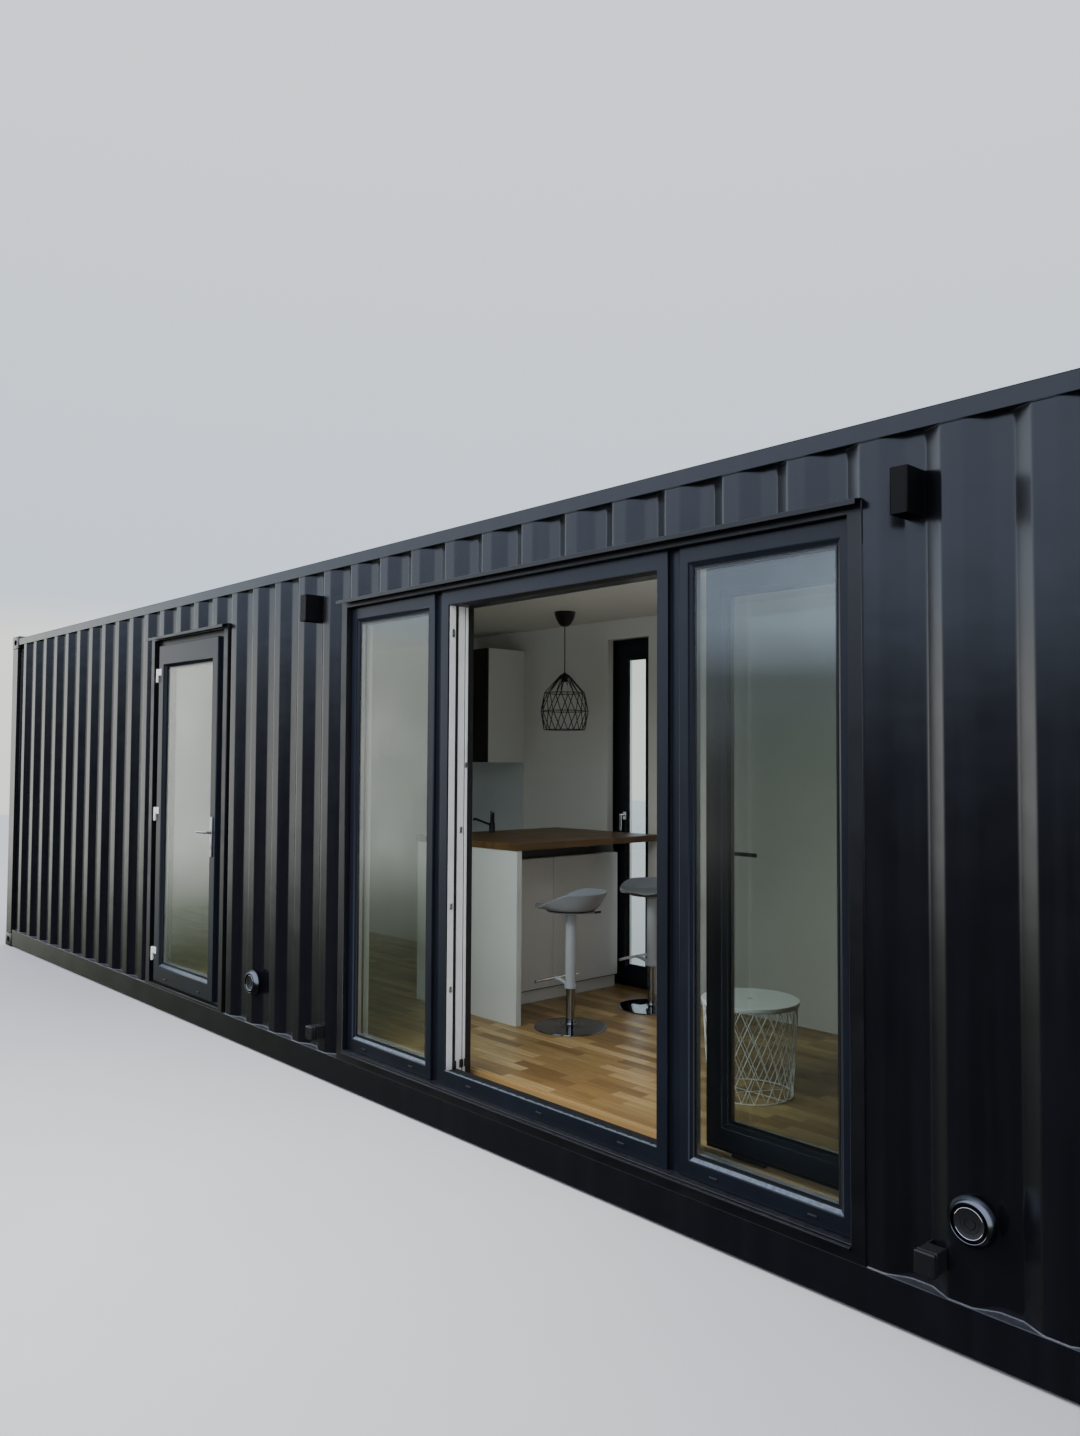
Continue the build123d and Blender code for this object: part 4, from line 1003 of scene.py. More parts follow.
def glaze(members, panes, low, high):
    """A double pane: spacer bar, edge seal and gaskets go to the members' builder, glass to the panes'."""
    opening = settings().cabin_opening
    glass, wide, gasket = opening.glass, opening.spacer, opening.gasket
    bar = [(0, glass), (wide, glass), (wide, PANE - glass), (0, PANE - glass)]
    members.mitred(low, high, low[1], bar, (wide,) * 4, ["rubber", "brushed metal", "rubber", "rubber"])
    for start, end in ((-0.0015, 0.0), (PANE, PANE + 0.0015)):
        ring = [(0, start), (gasket, start), (gasket, end), (0, end)]
        members.mitred(low, high, low[1], ring, (gasket,) * 4, "rubber")
    for y in (low[1], low[1] + PANE - glass):
        panes.block((low[0] + 0.0005, y, low[2] + 0.0005), (high[0] - 0.0005, y + glass, high[2] - 0.0005),
                    "glass", 0.0)


def inside(low, high, y, members):
    """The corners of what four members leave open, at a depth of y."""
    left, right, foot, head = members
    return (low[0] + left, y, low[2] + foot), (high[0] - right, y, high[2] - head)


def member_profile(member, setback=0.024, lip=None):
    """A window member: a flat face, and a sloping bead down to the pane.

    lip is where a leaf's member laps its frame: "outside", "room", or nowhere.
    """
    face, lap, inset = member - BEAD, 0.028, 0.032
    pane = [(member - 0.003, setback - 0.002), (member, setback), (member, setback + PANE), (face, REACH - 0.004)]
    front = [(face - 0.0055, 0), (face - 0.0016, 0.0016), (face, 0.0055)]
    if lip == "outside":
        return [(0, 0.0045), (0.0013, 0.0013), (0.0045, 0), *front, *pane, (face - 0.003, REACH),
                (inset + 0.002, REACH), (inset, REACH - 0.002), (inset, lap), (0.002, lap), (0, lap - 0.002)]
    if lip == "room":
        return [(inset, 0.002), (inset + 0.002, 0), (face - 0.004, 0), (face - 0.001, 0.0015), (face, 0.004), *pane,
                (face - 0.003, REACH), (0.003, REACH), (0, REACH - 0.003), (0, REACH - lap + 0.002),
                (0.002, REACH - lap), (inset, REACH - lap)]
    return [(0, 0.0042), (0.0012, 0.0012), (0.0042, 0), *front, *pane, (face - 0.001, REACH - 0.0015),
            (face - 0.004, REACH), (0.002, REACH), (0, REACH - 0.002)]


# The steps of a member's profile that form the level lip under a pane; on the foot member they take a lighter
# blue-grey than the film, a painted highlight of the sky.
LIT_BEAD_FOOT = {5: "bead foot", 6: "bead foot"}


def drain_caps(builder, low, high, face, foot, shares=(0.22, 0.78)):
    """Small hooded caps over the drain slots in a bottom member."""
    for share in shares:
        x = low[0] + (high[0] - low[0]) * share
        builder.block((x - 0.019, face - 0.0035, foot - 0.006), (x + 0.019, face + 0.001, foot + 0.006),
                      "black plastic", 0.002)
        builder.block((x - 0.016, face - 0.0055, foot - 0.001), (x + 0.016, face - 0.002, foot + 0.004),
                      "black plastic", 0.0012)


class CABIN_OT_lights(bpy.types.Operator):
    """Fixed lights, couplers, the sliding door's frame and the back window"""
    bl_idname = "cabin.lights"
    bl_label = "Fixed lights and frames"

    def execute(self, context):
        panes = Builder()
        for node in ("left_light_frame", "right_light_frame"):
            low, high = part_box(node)
            members = (0.062, 0.062, 0.078, 0.080)
            builder = Builder()
            builder.mitred(low, high, low[1], member_profile(0.062, 0.014), members, "frame film", LIT_BEAD_FOOT)
            glaze(builder, panes, *inside(low, high, low[1] + 0.014, members))
            drain_caps(builder, low, high, low[1], low[2] + 0.030)
            piece(builder, node)
        self.back_window(panes)
        piece(panes, "fixed_panes", name="fixed_glass")
        self.couplers()
        self.sliding_frame()
        self.back_handle()
        return {"FINISHED"}

    def back_window(self, panes):
        low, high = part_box("back_window_frame")
        members = (0.100, 0.112, 0.130, 0.130)
        builder = Builder()
        builder.mitred(low, high, high[1], [(inset, -y) for inset, y in member_profile(0.120)], members, "frame film")
        line_in, line_out = 0.052, 0.0545
        for start, end in ((-0.0012, 0.0), (REACH, REACH + 0.0012)):
            seal = [(line_in, -start), (line_out, -start), (line_out, -end), (line_in, -end)]
            builder.mitred(low, high, high[1], seal, (line_out,) * 4, "rubber")
        glaze(builder, panes, *inside(low, high, high[1] - 0.052, members))
        piece(builder, "back_window_frame", name="back_window_dressed")

    def couplers(self):
        """The two couplers beside the sliding door's frame, with a rubber line on each edge."""
        builder = Builder()
        builder.solid_of("frame_couplers", "frame film", 0.002)
        couple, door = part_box("frame_couplers"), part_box("sliding_frame")
        y, z0, z1 = couple[0][1], couple[0][2], couple[1][2]
        for x0, x1 in ((couple[0][0], door[0][0]), (door[1][0], couple[1][0])):
            for x in (x0, x1 - 0.004):
                builder.block((x, y - 0.003, z0), (x + 0.004, y + 0.001, z1), "rubber", 0.001)
        piece(builder, "frame_couplers", name="couplers_dressed")

    def sliding_frame(self):
        """A filmed shell round the sliding leaf, and jambs with white faces between rubber lines; the head's underside
        is dark rubber and film instead of white, a painted shade.
        """
        low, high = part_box("sliding_frame")
        face, room = FRONT + 0.033, FRONT + 0.103
        foot_z, head_z = RAIL_TOP + FLAT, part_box("left_light_frame")[1][2]
        side, rail = 0.055, 0.070
        left, right = low[0] + side, high[0] - side
        foot, head = foot_z + rail, head_z - rail
        builder = Builder()
        profile = rounded([(0, 0), (side, 0), (side, 0.0095), (side - 0.008, 0.0095), (side - 0.008, REACH),
                           (0, REACH)], 0.002)
        builder.mitred((low[0], 0, foot_z), (high[0], 0, head_z), face, profile, (side, side, rail, rail),
                       "frame film")
        bands = ((0.0425, 0.079, 0.0, "frame white"), (0.079, 0.094, 0.0025, "rubber"),
                 (0.094, 0.136, 0.0, "frame white"), (0.136, 0.143, -0.004, "rubber"),
                 (0.143, 0.157, 0.0, "frame white"), (0.157, 0.1895, 0.002, "rubber"))
        for start, end, proud, finish in bands:
            for y0, y1, out, z0, z1 in (
                    (FRONT + start, min(FRONT + end, room), side - 0.009, foot - 0.008, head + 0.008),
                    (max(FRONT + start, room), FRONT + end, 0.0, FLOOR, high[2])):
                if y1 > y0:
                    builder.block((low[0] + out, y0, z0), (left + proud, y1, z1), finish, 0.0012)
                    builder.block((right - proud, y0, z0), (high[0] - out, y1, z1), finish, 0.0012)
        # The first two blocks give the head's underside dark rubber and film where the jambs are white: a painted
        # shade.
        for y0, y1, z0, z1, finish, edge in (
                (FRONT + 0.0425, room, head - 0.001, head + 0.009, "rubber", 0.001),
                (room, FRONT + 0.1895, head - 0.001, high[2], "frame film", 0.0012),
                (face + 0.0095, room, foot - 0.009, foot - 0.001, "rubber", 0.001)):
            builder.block((left - 0.002, y0, z0), (right + 0.002, y1, z1), finish, edge)
        for x, out in ((left, 1), (right, -1)):
            for z, y, tall in ((2.375, 0.062, 0.040), (1.735, 0.150, 0.026), (1.055, 0.062, 0.028),
                               (0.66, 0.062, 0.028), (1.42, 0.118, 0.030)):
                x0, x1 = sorted((x - out * 0.001, x + out * 0.0045))
                builder.block((x0, FRONT + y - 0.008, z - tall / 2), (x1, FRONT + y + 0.008, z + tall / 2),
                              "brushed metal", 0.0012)
                add_screws(builder, [(x + out * 0.0047, FRONT + y, z + tall * share) for share in (-0.3, 0.3)],
                           (out, 0, 0), "rubber", 0.0026)
            for y in (0.087, 0.130, 0.160):
                x0, x1 = sorted((x, x + out * 0.009))
                builder.block((x0, FRONT + y - 0.010, foot), (x1, FRONT + y + 0.010, foot + 0.038), "black plastic",
                              0.002)
        # A level lip at the foot in the lighter blue-grey of the bead feet: a painted highlight.
        builder.block((left, face + 0.001, foot - 0.002), (right, face + 0.012, foot + 0.0035), "bead foot", 0.0012)
        notches = 22
        for k in range(notches):
            x = left + (right - left) * (k + 0.5) / notches
            builder.block((x - 0.006, face + 0.0045, foot + 0.001), (x + 0.006, face + 0.0125, foot + 0.0055),
                          "black plastic", 0.0008)
        drain_caps(builder, low, high, face, foot_z + 0.035, (1 / 6, 1 / 2, 5 / 6))
        piece(builder, "sliding_frame")

    def back_handle(self):
        """The chrome handle of the back window."""
        low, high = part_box("back_window_handle")
        x, face, z = (low[0] + high[0]) / 2, high[1], low[2] + 0.105
        builder = Builder()
        builder.block((x - 0.013, face - 0.008, z - 0.028), (x + 0.013, face, z + 0.028), "chrome", 0.003, 3)
        builder.turned([(0, 0), (0.011, 0), (0.011, 0.010), (0.008, 0.013), (0.008, 0.044), (0, 0.044)],
                       placed(x, face - 0.006, z + 0.008, OUTWARD), "chrome", 24)
        path = arc_path([(x, face - 0.044, z + 0.014), (x, face - 0.044, z - 0.05), (x, face - 0.047, z - 0.100)],
                        0.02)
        builder.tube(path, 0.0078, "chrome", scale=(1.0, 0.7))
        piece(builder, "back_window_handle")


# Doors

def lever_set(builder, x, face, z, out, reach, finish, keyed):
    """A long plate with a collar, a lever and, where keyed, a lock cylinder; out is the way that it faces."""
    y0, y1 = sorted((face, face + out * 0.0085))
    builder.block((x - 0.0148, y0, z - 0.159), (x + 0.0148, y1, z + 0.099), finish, 0.0035, 3)
    builder.turned([(0, 0), (0.0125, 0), (0.0125, 0.010), (0.0105, 0.012), (0, 0.012)],
                   placed(x, face + out * 0.006, z, OUTWARD if out < 0 else INWARD), finish, 28)
    path = arc_path([(x, face + out * 0.012, z), (x, face + out * 0.047, z), (x + reach * 0.05, face + out * 0.048, z),
                     (x + reach * 0.124, face + out * 0.045, z)], 0.022)
    builder.tube(path, 0.0085, finish, 16, scale=(1.0, 0.85))
    add_screws(builder, [(x, face + out * 0.0086, z + rise) for rise in (0.080, -0.140)], (0, out, 0))
    if keyed:
        outline = [(x + across, z - 0.092 + up) for up, across in stadium(0.032, 0.016, 8)]
        y0, y1 = sorted((face + out * 0.004, face + out * 0.0115))
        builder.prism(outline, "y", y0, y1, "brushed metal", 0.001)
        y0, y1 = sorted((face + out * 0.0105, face + out * 0.0122))
        builder.block((x - 0.0012, y0, z - 0.104), (x + 0.0012, y1, z - 0.094), "rubber", 0.0003)


class CABIN_OT_entrance(bpy.types.Operator):
    """Entrance frame, leaf, glass, hinges and handle"""
    bl_idname = "cabin.entrance"
    bl_label = "Entrance door"

    def execute(self, context):
        low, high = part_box("door_frame")
        builder = Builder()
        profile = rounded([(0, 0), (0.084, 0), (0.084, 0.010), (0.100, 0.010), (0.100, REACH), (0, REACH)], 0.003)
        builder.mitred(low, high, low[1], profile, (0.100, 0.100, 0.035, 0.062), "frame film")
        seal = [(0.082, -0.004), (0.090, -0.004), (0.090, 0.001), (0.082, 0.001)]
        builder.mitred(low, high, low[1], seal, (0.090, 0.090, 0.025, 0.052), "rubber")
        piece(builder, "door_frame")

        low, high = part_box("entrance_leaf")
        builder, panes = Builder(), Builder()
        builder.mitred(low, high, low[1], member_profile(0.092, lip="outside"), (0.092, 0.092, 0.124, 0.152),
                       "frame film", LIT_BEAD_FOOT)
        glaze(builder, panes, *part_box("entrance_glass"))
        drain_caps(builder, low, high, low[1], low[2] + 0.032)
        piece(builder, "entrance_leaf", "entrance_door")
        piece(panes, "entrance_glass", "entrance_door", "entrance_pane")
        self.hinges(low[0] - 0.008, low[1] - 0.008)
        self.handle()
        return {"FINISHED"}

    def hinges(self, x, y):
        """Three hinges: the barrel's upper half with its plate on the leaf, its lower half on the frame."""
        leaf_half, frame_half = Builder(), Builder()
        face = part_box("door_frame")[0][1]
        low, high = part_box("frame_hinges")
        foot, head = low[2] + 0.048, high[2]
        for z in (foot, (foot + head) / 2, head):
            barrel = [(0, 0.0003), (0.0078, 0.0003), (0.0078, 0.044), (0.0070, 0.047), (0.004, 0.048), (0, 0.048)]
            leaf_half.turned(barrel, placed(x, y, z), "hinge white", 24)
            leaf_half.block((x, y + 0.0045, z + 0.001), (x + 0.052, y + 0.0079, z + 0.0475), "hinge white", 0.0016)
            add_screws(leaf_half, [(x + along, y + 0.0043, z + up) for along, up in (
                (0.018, 0.013), (0.018, 0.036), (0.034, 0.025))], (0, -1, 0))
            under = [(0, 0), (0.0078, 0), (0.0078, -0.043), (0.0070, -0.047), (0.004, -0.048), (0, -0.048)]
            frame_half.turned(under, placed(x, y, z), "hinge white", 24)
            frame_half.block((x - 0.012, y, z - 0.047), (x - 0.0045, face - 0.001, z - 0.001), "hinge white", 0.0018)
            frame_half.block((x - 0.0435, face - 0.0039, z - 0.0475), (x - 0.0045, face, z - 0.0005), "hinge white",
                             0.0015)
            add_screws(frame_half, [(x - 0.034, face - 0.0042, z - down) for down in (0.012, 0.036)], (0, -1, 0))
        piece(leaf_half, "entrance_hinges", "entrance_door", "leaf_hinges_dressed")
        piece(frame_half, "frame_hinges")

    def handle(self):
        leaf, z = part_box("entrance_leaf"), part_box("entrance_handle")[0][2] + 0.160
        builder = Builder()
        for corner, out in zip(leaf, (-1, 1)):
            lever_set(builder, leaf[1][0] - 0.046, corner[1], z, out, -1, "brushed metal", True)
        piece(builder, "entrance_handle", "entrance_door")


class CABIN_OT_sliding_door(bpy.types.Operator):
    """Sliding leaf, its glass, handle and carriages, and the track and guide"""
    bl_idname = "cabin.sliding_door"
    bl_label = "Sliding door"

    def execute(self, context):
        low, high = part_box("sliding_leaf")
        member = 0.120
        builder, panes = Builder(), Builder()
        builder.mitred(low, high, low[1], member_profile(member, lip="room"), (member,) * 4, "frame film")
        for start, finish, y0, y1 in ((0.0318, "frame white", 0.004, 0.020), (0.0316, "rubber", 0.024, 0.032)):
            end = start + 0.003
            builder.mitred(low, high, low[1], [(start, y0), (end, y0), (end, y1), (start, y1)], (end,) * 4, finish)
        glaze(builder, panes, *inside(low, high, low[1] + 0.024, (member,) * 4))
        piece(builder, "sliding_leaf", "sliding_door")
        piece(panes, "sliding_glass", "sliding_door", "sliding_pane")
        builder = Builder()
        lever_set(builder, low[0] + member / 2, high[1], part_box("sliding_handle")[0][2] + 0.160, 1, 1,
                  "black plastic", False)
        piece(builder, "sliding_handle", "sliding_door")
        dress("sliding_carriages", "black plastic", 0.002, "sliding_door", "carriages_dressed")
        # The track and guide take the lightened oak tone: partly painted light.
        for node in ("slide_track", "slide_guide"):
            dress(node, "oak metal", 0.0008)
        return {"FINISHED"}


# Outside fittings

class CABIN_OT_fittings(bpy.types.Operator):
    """Up-and-down lamps, round inlets and lidded sockets on the front"""
    bl_idname = "cabin.fittings"
    bl_label = "Outside fittings"

    def execute(self, context):
        self.lamps()
        self.inlets()
        self.sockets()
        return {"FINISHED"}

    def lamps(self):
        """Square tubes with a core that holds a lens at each end."""
        low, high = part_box("wall_lamps")
        y0, y1 = low[1], high[1]
        middle = (y0 + y1) / 2
        wide, wall = 0.060, 0.004
        core = (low[2] + 0.024, high[2] - 0.024)
        builder = Builder()
        for x0 in (low[0], high[0] - wide):
            x1 = x0 + wide
            for a, b in (((x0, y0), (x0 + wall, y1)), ((x1 - wall, y0), (x1, y1)),
                         ((x0 + wall, y0), (x1 - wall, y0 + wall)), ((x0 + wall, y1 - wall), (x1 - wall, y1))):
                builder.block((*a, low[2]), (*b, high[2]), "lamp black", 0.0014)
            builder.block((x0 + 0.002, y0 + 0.002, core[0]), (x1 - 0.002, y1 - 0.002, core[1]), "lamp black", 0.001)
            for z, turn in zip(core, (-1, 1)):
                rim = [(0, 0), (0.0235, 0), (0.0235, 0.006), (0.0205, 0.006), (0.0195, 0.003), (0, 0.004)]
                lens = [(0, 0.0005), (0.0195, 0.0005), (0.017, 0.004), (0.010, 0.0062), (0, 0.007)]
                for profile, finish in ((rim, "brushed metal"), (lens, "lens")):
                    builder.turned([(radius, rise * turn) for radius, rise in profile],
                                   placed((x0 + x1) / 2, middle, z), finish, 32)
            add_screws(builder, [(x1 + 0.0003, middle + 0.03, z) for z in (low[2] + 0.05, high[2] - 0.05)],
                       (1, 0, 0), "lamp black", 0.003)
        piece(builder, "wall_lamps")

    def inlets(self):
        """Round inlets: a chrome ring, a rubber bed and a dished cap."""
        low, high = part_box("wall_inlets")
        radius, z = 0.075, (low[2] + high[2]) / 2
        groove = [(0.016, 0.0205), (0.0176, 0.0205), (0.0176, 0.0240), (0.016, 0.0240), (0.016, 0.0205)]
        turnings = (
            ("ring chrome", 72, 30, [
                (0.0560, 0.002), (0.0748, 0.002), (0.0750, 0.004), (0.0745, 0.009), (0.0615, 0.0275),
                (0.0600, 0.0290), (0.0575, 0.0295), (0.0562, 0.0285), (0.0560, 0.002)]),
            ("rubber", 72, 35, [(0, 0.0005), (0.0742, 0.0005), (0.0742, 0.006), (0, 0.006)]),
            ("black plastic", 72, 28, [
                (0, 0.004), (0.0465, 0.004), (0.0470, 0.020), (0.0460, 0.0255), (0.0440, 0.0275), (0.0410, 0.0265),
                (0.0330, 0.0235), (0.0180, 0.0215), (0, 0.0210)]),
            ("chrome", 72, 35, [(0.0440, 0.0268), (0.0452, 0.0272), (0.0457, 0.0280), (0.0448, 0.0286),
                                (0.0438, 0.0280), (0.0440, 0.0268)]),
            ("black plastic", 48, 35, groove),
            ("black plastic", 48, 35, [(wide + 0.012, rise) for wide, rise in groove]))
        builder = Builder()
        for x in (low[0] + radius, high[0] - radius):
            for finish, steps, crease, profile in turnings:
                builder.turned(profile, placed(x, high[1], z, OUTWARD), finish, steps, crease)
        piece(builder, "wall_inlets")

    def sockets(self):
        """Lidded socket boxes that bridge a wave of the wall."""
        low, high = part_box("socket_boxes")
        wide = 0.068
        y, z0, z1 = low[1], low[2], high[2]
        builder = Builder()
        for x0 in (low[0], high[0] - wide):
            x1 = x0 + wide
            middle = (x0 + x1) / 2
            builder.block((x0 + 0.003, y + 0.016, z0 + 0.003), (x1 - 0.003, FRONT + 0.007, z1 - 0.003),
                          "black plastic", 0.004, 3)
            for foot in (x0 + 0.003, x1 - 0.010):
                deep = SHEET_FACE + min(wave_depth(foot - LEFT), wave_depth(foot + 0.007 - LEFT))
                builder.block((foot, FRONT + 0.004, z0 + 0.004), (foot + 0.007, deep, z1 - 0.004), "rubber", 0.001)
            for inset, start, end, finish, edge, steps in (
                    (0, 0, 0.0165, "gloss black", 0.0075, 5), (0.004, 0.0160, 0.019, "rubber", 0.0008, 2),
                    (0.001, 0.0185, 0.030, "gloss black", 0.004, 3)):
                builder.block((x0 + inset, y + start, z0 + inset), (x1 - inset, y + end, z1 - inset), finish, edge,
                              steps)
            builder.tube([(middle + side * 0.017, y + 0.021, z1 - 0.004) for side in (-1, 1)], 0.0035,
                         "black plastic")
            builder.block((middle - 0.012, y + 0.002, z0), (middle + 0.012, y + 0.009, z0 + 0.004), "black plastic",
                          0.001)
        piece(builder, "socket_boxes")


# Room

class CABIN_OT_room(bpy.types.Operator):
    """Finishes of the floor, walls, ceiling and underside"""
    bl_idname = "cabin.room"
    bl_label = "Room faces"

    def execute(self, context):
        looks = {"oak_floor": "oak strips", "floor_insulation": "foam", "floor_deck": "plywood"}
        for node in ("front_lining_walls", "front_lining_headers", "back_lining_walls", "back_lining_header",
                     "end_linings", "ceiling_lining", "reveal_jambs", "reveal_heads", *looks):
            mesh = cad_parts[node].data
            mesh.materials.clear()
            mesh.materials.append(finish_of(looks.get(node, "wall paint")))
        return {"FINISHED"}


class CABIN_OT_kitchen(bpy.types.Operator):
    """Bar cabinet, oak worktop, tap, wall cabinet and splashback"""
    bl_idname = "cabin.kitchen"
    bl_label = "Bar and cabinets"

    def execute(self, context):
        self.bar()
        builder = Builder()
        builder.block(*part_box("worktop"), "oak staves", 0.0025, 3)
        piece(builder, "worktop")
        self.tap()
        self.cabinet()
        return {"FINISHED"}

    def bar(self):
        """A polished end panel, and a body with two doors, a dark grip recess and a set-back plinth. The dark recess
        is taller than the real one, so it also paints the worktop's shadow, and a dark strip over the plinth is a
        painted shadow line.
        """
        low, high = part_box("bar_cabinet")
        panel = low[1] + 0.040
        front, top = low[0] + 0.600, high[2]
        body_top = top - settings().cabin_room.grip_and_shadow
        plinth = FLOOR + settings().cabin_room.plinth
        builder = Builder()
        builder.block((low[0], low[1], FLOOR), (high[0], panel, top), "gloss board", 0.0015)
        builder.block((low[0], panel, plinth), (front - 0.018, high[1], body_top), "melamine", 0.0012)
        span = (high[1] - panel) / 2
        for y in (panel + 0.0015, panel + span + 0.0015):
            builder.block((front - 0.0175, y, plinth + 0.004), (front, y + span - 0.003, body_top - 0.002),
                          "melamine", 0.0012)
        # The dark band under the worktop is a grip recess drawn taller as painted shadow; the dark strip over the
        # plinth is a painted shadow line.
        for z0, z1, setback, finish, edge in (
                (body_top, top, 0.040, "dark front", 0.001), (FLOOR, plinth - 0.008, 0.026, "melamine", 0.001),
                (plinth - 0.009, plinth + 0.001, 0.030, "dark front", 0.0)):
            builder.block((low[0], panel, z0), (front - setback, high[1], z1), finish, edge)
        piece(builder, "bar_cabinet")

    def tap(self):
        low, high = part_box("tap")
        x, y, foot = high[0] - 0.024, (low[1] + high[1]) / 2, low[2]
        builder = Builder()
        builder.turned([(0, 0), (0.0235, 0), (0.0235, 0.004), (0.0215, 0.007), (0.0205, 0.010), (0.0200, 0.058),
                        (0.0185, 0.064), (0, 0.066)], placed(x, y, foot), "black plastic", 36)
        spout = arc_path([(x, y, foot + 0.046), (x - 0.11, y, foot + 0.067), (x - 0.190, y, foot + 0.083),
                          (x - 0.198, y, foot + 0.072)], 0.012)
        builder.tube(spout, 0.0078, "black plastic", 16)
        for spots, radii in ((((-0.010, 0.050), (-0.010, 0.100), (-0.011, 0.1425)), [0.0075, 0.0058, 0.0045]),
                             (((0.009, 0.050), (0.011, 0.105), (0.012, 0.132)), [0.0095, 0.0090, 0.0080])):
            builder.tube([(x + along, y, foot + up) for along, up in spots], radii, "black plastic")
        piece(builder, "tap")

    def cabinet(self):
        """The wall cabinet with its two doors, and the splashback under it."""
        low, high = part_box("wall_cabinet")
        builder = Builder()
        builder.block((low[0], low[1] + 0.019, low[2]), high, "melamine", 0.0012)
        half = (low[0] + high[0]) / 2
        for x0, x1 in ((low[0] + 0.001, half - 0.0015), (half + 0.0015, high[0] - 0.001)):
            builder.block((x0, low[1], low[2] + 0.002), (x1, low[1] + 0.0182, high[2] - 0.002), "dark front", 0.0012)
        builder.block((low[0] + 0.05, low[1] + 0.02, low[2]), (high[0] - 0.05, low[1] + 0.035, low[2] + 0.004),
                      "dark front", 0.0008)
        piece(builder, "wall_cabinet")
        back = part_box("worktop")[1][1]
        builder = Builder()
        builder.block((low[0], back - 0.006, FLOOR + 0.86), (high[0], back, low[2]), "splashback", 0.001)
        piece(builder, None, name="splashback_panel")


def wires(x, y, levels, sides, rings):
    """Straight wires that cross between levels of (z, radius), and run round the levels named in rings."""
    spots, edges = [], []
    for level, (z, reach) in enumerate(levels):
        turns = [math.radians(360 * (step + level / 2) / sides) for step in range(sides)]
        spots += [(x + reach * math.cos(turn), y + reach * math.sin(turn), z) for turn in turns]
    for level in range(len(levels)):
        for step in range(sides):
            here, n = level * sides + step, (step + 1) % sides
            if level in rings:
                edges.append((here, level * sides + n))
            if level:
                edges += [(here - sides, here), ((level - 1) * sides + n, here)]
    return spots, edges


class CABIN_OT_pendant(bpy.types.Operator):
    """Ceiling cup, flex, holder, bulb and wire shade"""
    bl_idname = "cabin.pendant"
    bl_label = "Pendant lamp"

    def execute(self, context):
        low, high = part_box("pendant_lamp")
        x, y, ceiling = (low[0] + high[0]) / 2, (low[1] + high[1]) / 2, high[2]
        tall, radius, sides = 0.372, 0.158, 10
        top = low[2] + tall + 0.0025
        cup = [(0, 0), (0.0695, 0), (0.0695, -0.006), (0.066, -0.022), (0.056, -0.050), (0.040, -0.078),
               (0.026, -0.092), (0.012, -0.0965), (0, -0.0965)]
        holder = [(0, 0.006), (0.006, 0.006), (0.010, 0.0), (0.0205, -0.006), (0.0215, -0.020), (0.0215, -0.052),
                  (0.019, -0.058), (0, -0.058)]
        bulb = [(0, -0.0565), (0.0130, -0.056), (0.0135, -0.066), (0.0190, -0.080), (0.0255, -0.096),
                (0.0272, -0.108), (0.0240, -0.122), (0.0150, -0.131), (0, -0.1335)]
        builder = Builder()
        builder.turned(cup, placed(x, y, ceiling), "black plastic", 48, 50)
        builder.tube([(x, y, ceiling - 0.09), (x, y, top - 0.004)], 0.0032, "black plastic", 12)
        builder.turned(holder, placed(x, y, top), "black plastic", 32, 40)
        builder.turned(bulb, placed(x, y, top), "bulb", 32, 60)
        levels = [(top - drop * tall, wide * radius) for drop, wide in ((0.03, 0.17), (0.35, 0.84), (0.67, 1),
                                                                        (1, 0.86))]
        spots, edges = wires(x, y, levels, sides, range(len(levels)))
        spots.append((x, y, levels[0][0]))
        edges += [(step, len(spots) - 1) for step in range(0, sides, 2)]
        add_bead(builder, bare_mesh(spots, edges), "black plastic", settings().cabin_room.wire, sides=8)
        piece(builder, "pendant_lamp", name="pendant_dressed")
        return {"FINISHED"}


def stool_shell(builder, x, y, z, back, lip):
    """A dished seat: level at its front tongue, with a lip that climbs round the sides and the back.

    back is the direction that the back faces, lip its height.
    """
    around, rings, thick = 72, 16, 0.006
    flat, level, flat_share = 0.145, 0.006, 0.72

    def eased(value):
        value = min(1.0, max(0.0, value))
        return value * value * (3 - 2 * value)

    def surface(share, turn):
        off = abs((turn - back + math.pi) % math.tau - math.pi)
        rim = 0.010 + lip * eased((math.radians(162) - off) / math.radians(92))
        rim += 0.014 * eased((off - math.radians(150)) / math.radians(30))
        reach = 0.190 + 0.0225 * abs(math.cos(off)) ** 1.5
        inner, climb = min(1.0, share / flat_share), max(0.0, (share - flat_share) / (1 - flat_share))
        radius = flat * inner + (reach - flat) * climb ** 0.85
        rise = level * inner ** 3 + (rim - level) * climb ** 1.1
        return Vector((x + radius * math.cos(turn), y + radius * math.sin(turn), z + rise))

    part = bmesh.new()
    turns = [math.tau * n / around for n in range(around)]
    layers = []
    for drop in (0.0, -thick):
        down = Vector((0, 0, drop))
        grid = [[part.verts.new(Vector((x, y, z)) + down)]]
        grid += [[part.verts.new(surface(k / rings, turn) + down) for turn in turns] for k in range(1, rings + 1)]
        join_rings(part, grid)
        layers.append(grid[-1])
    upper, lower = layers
    edge = [part.verts.new((top.co + under.co) / 2 + Vector((math.cos(turn), math.sin(turn), 0)) * 0.0012)
            for top, under, turn in zip(upper, lower, turns)]
    join_rings(part, (upper, edge, lower))
    shade(part, 80)
    builder.take(part, "seat shell")


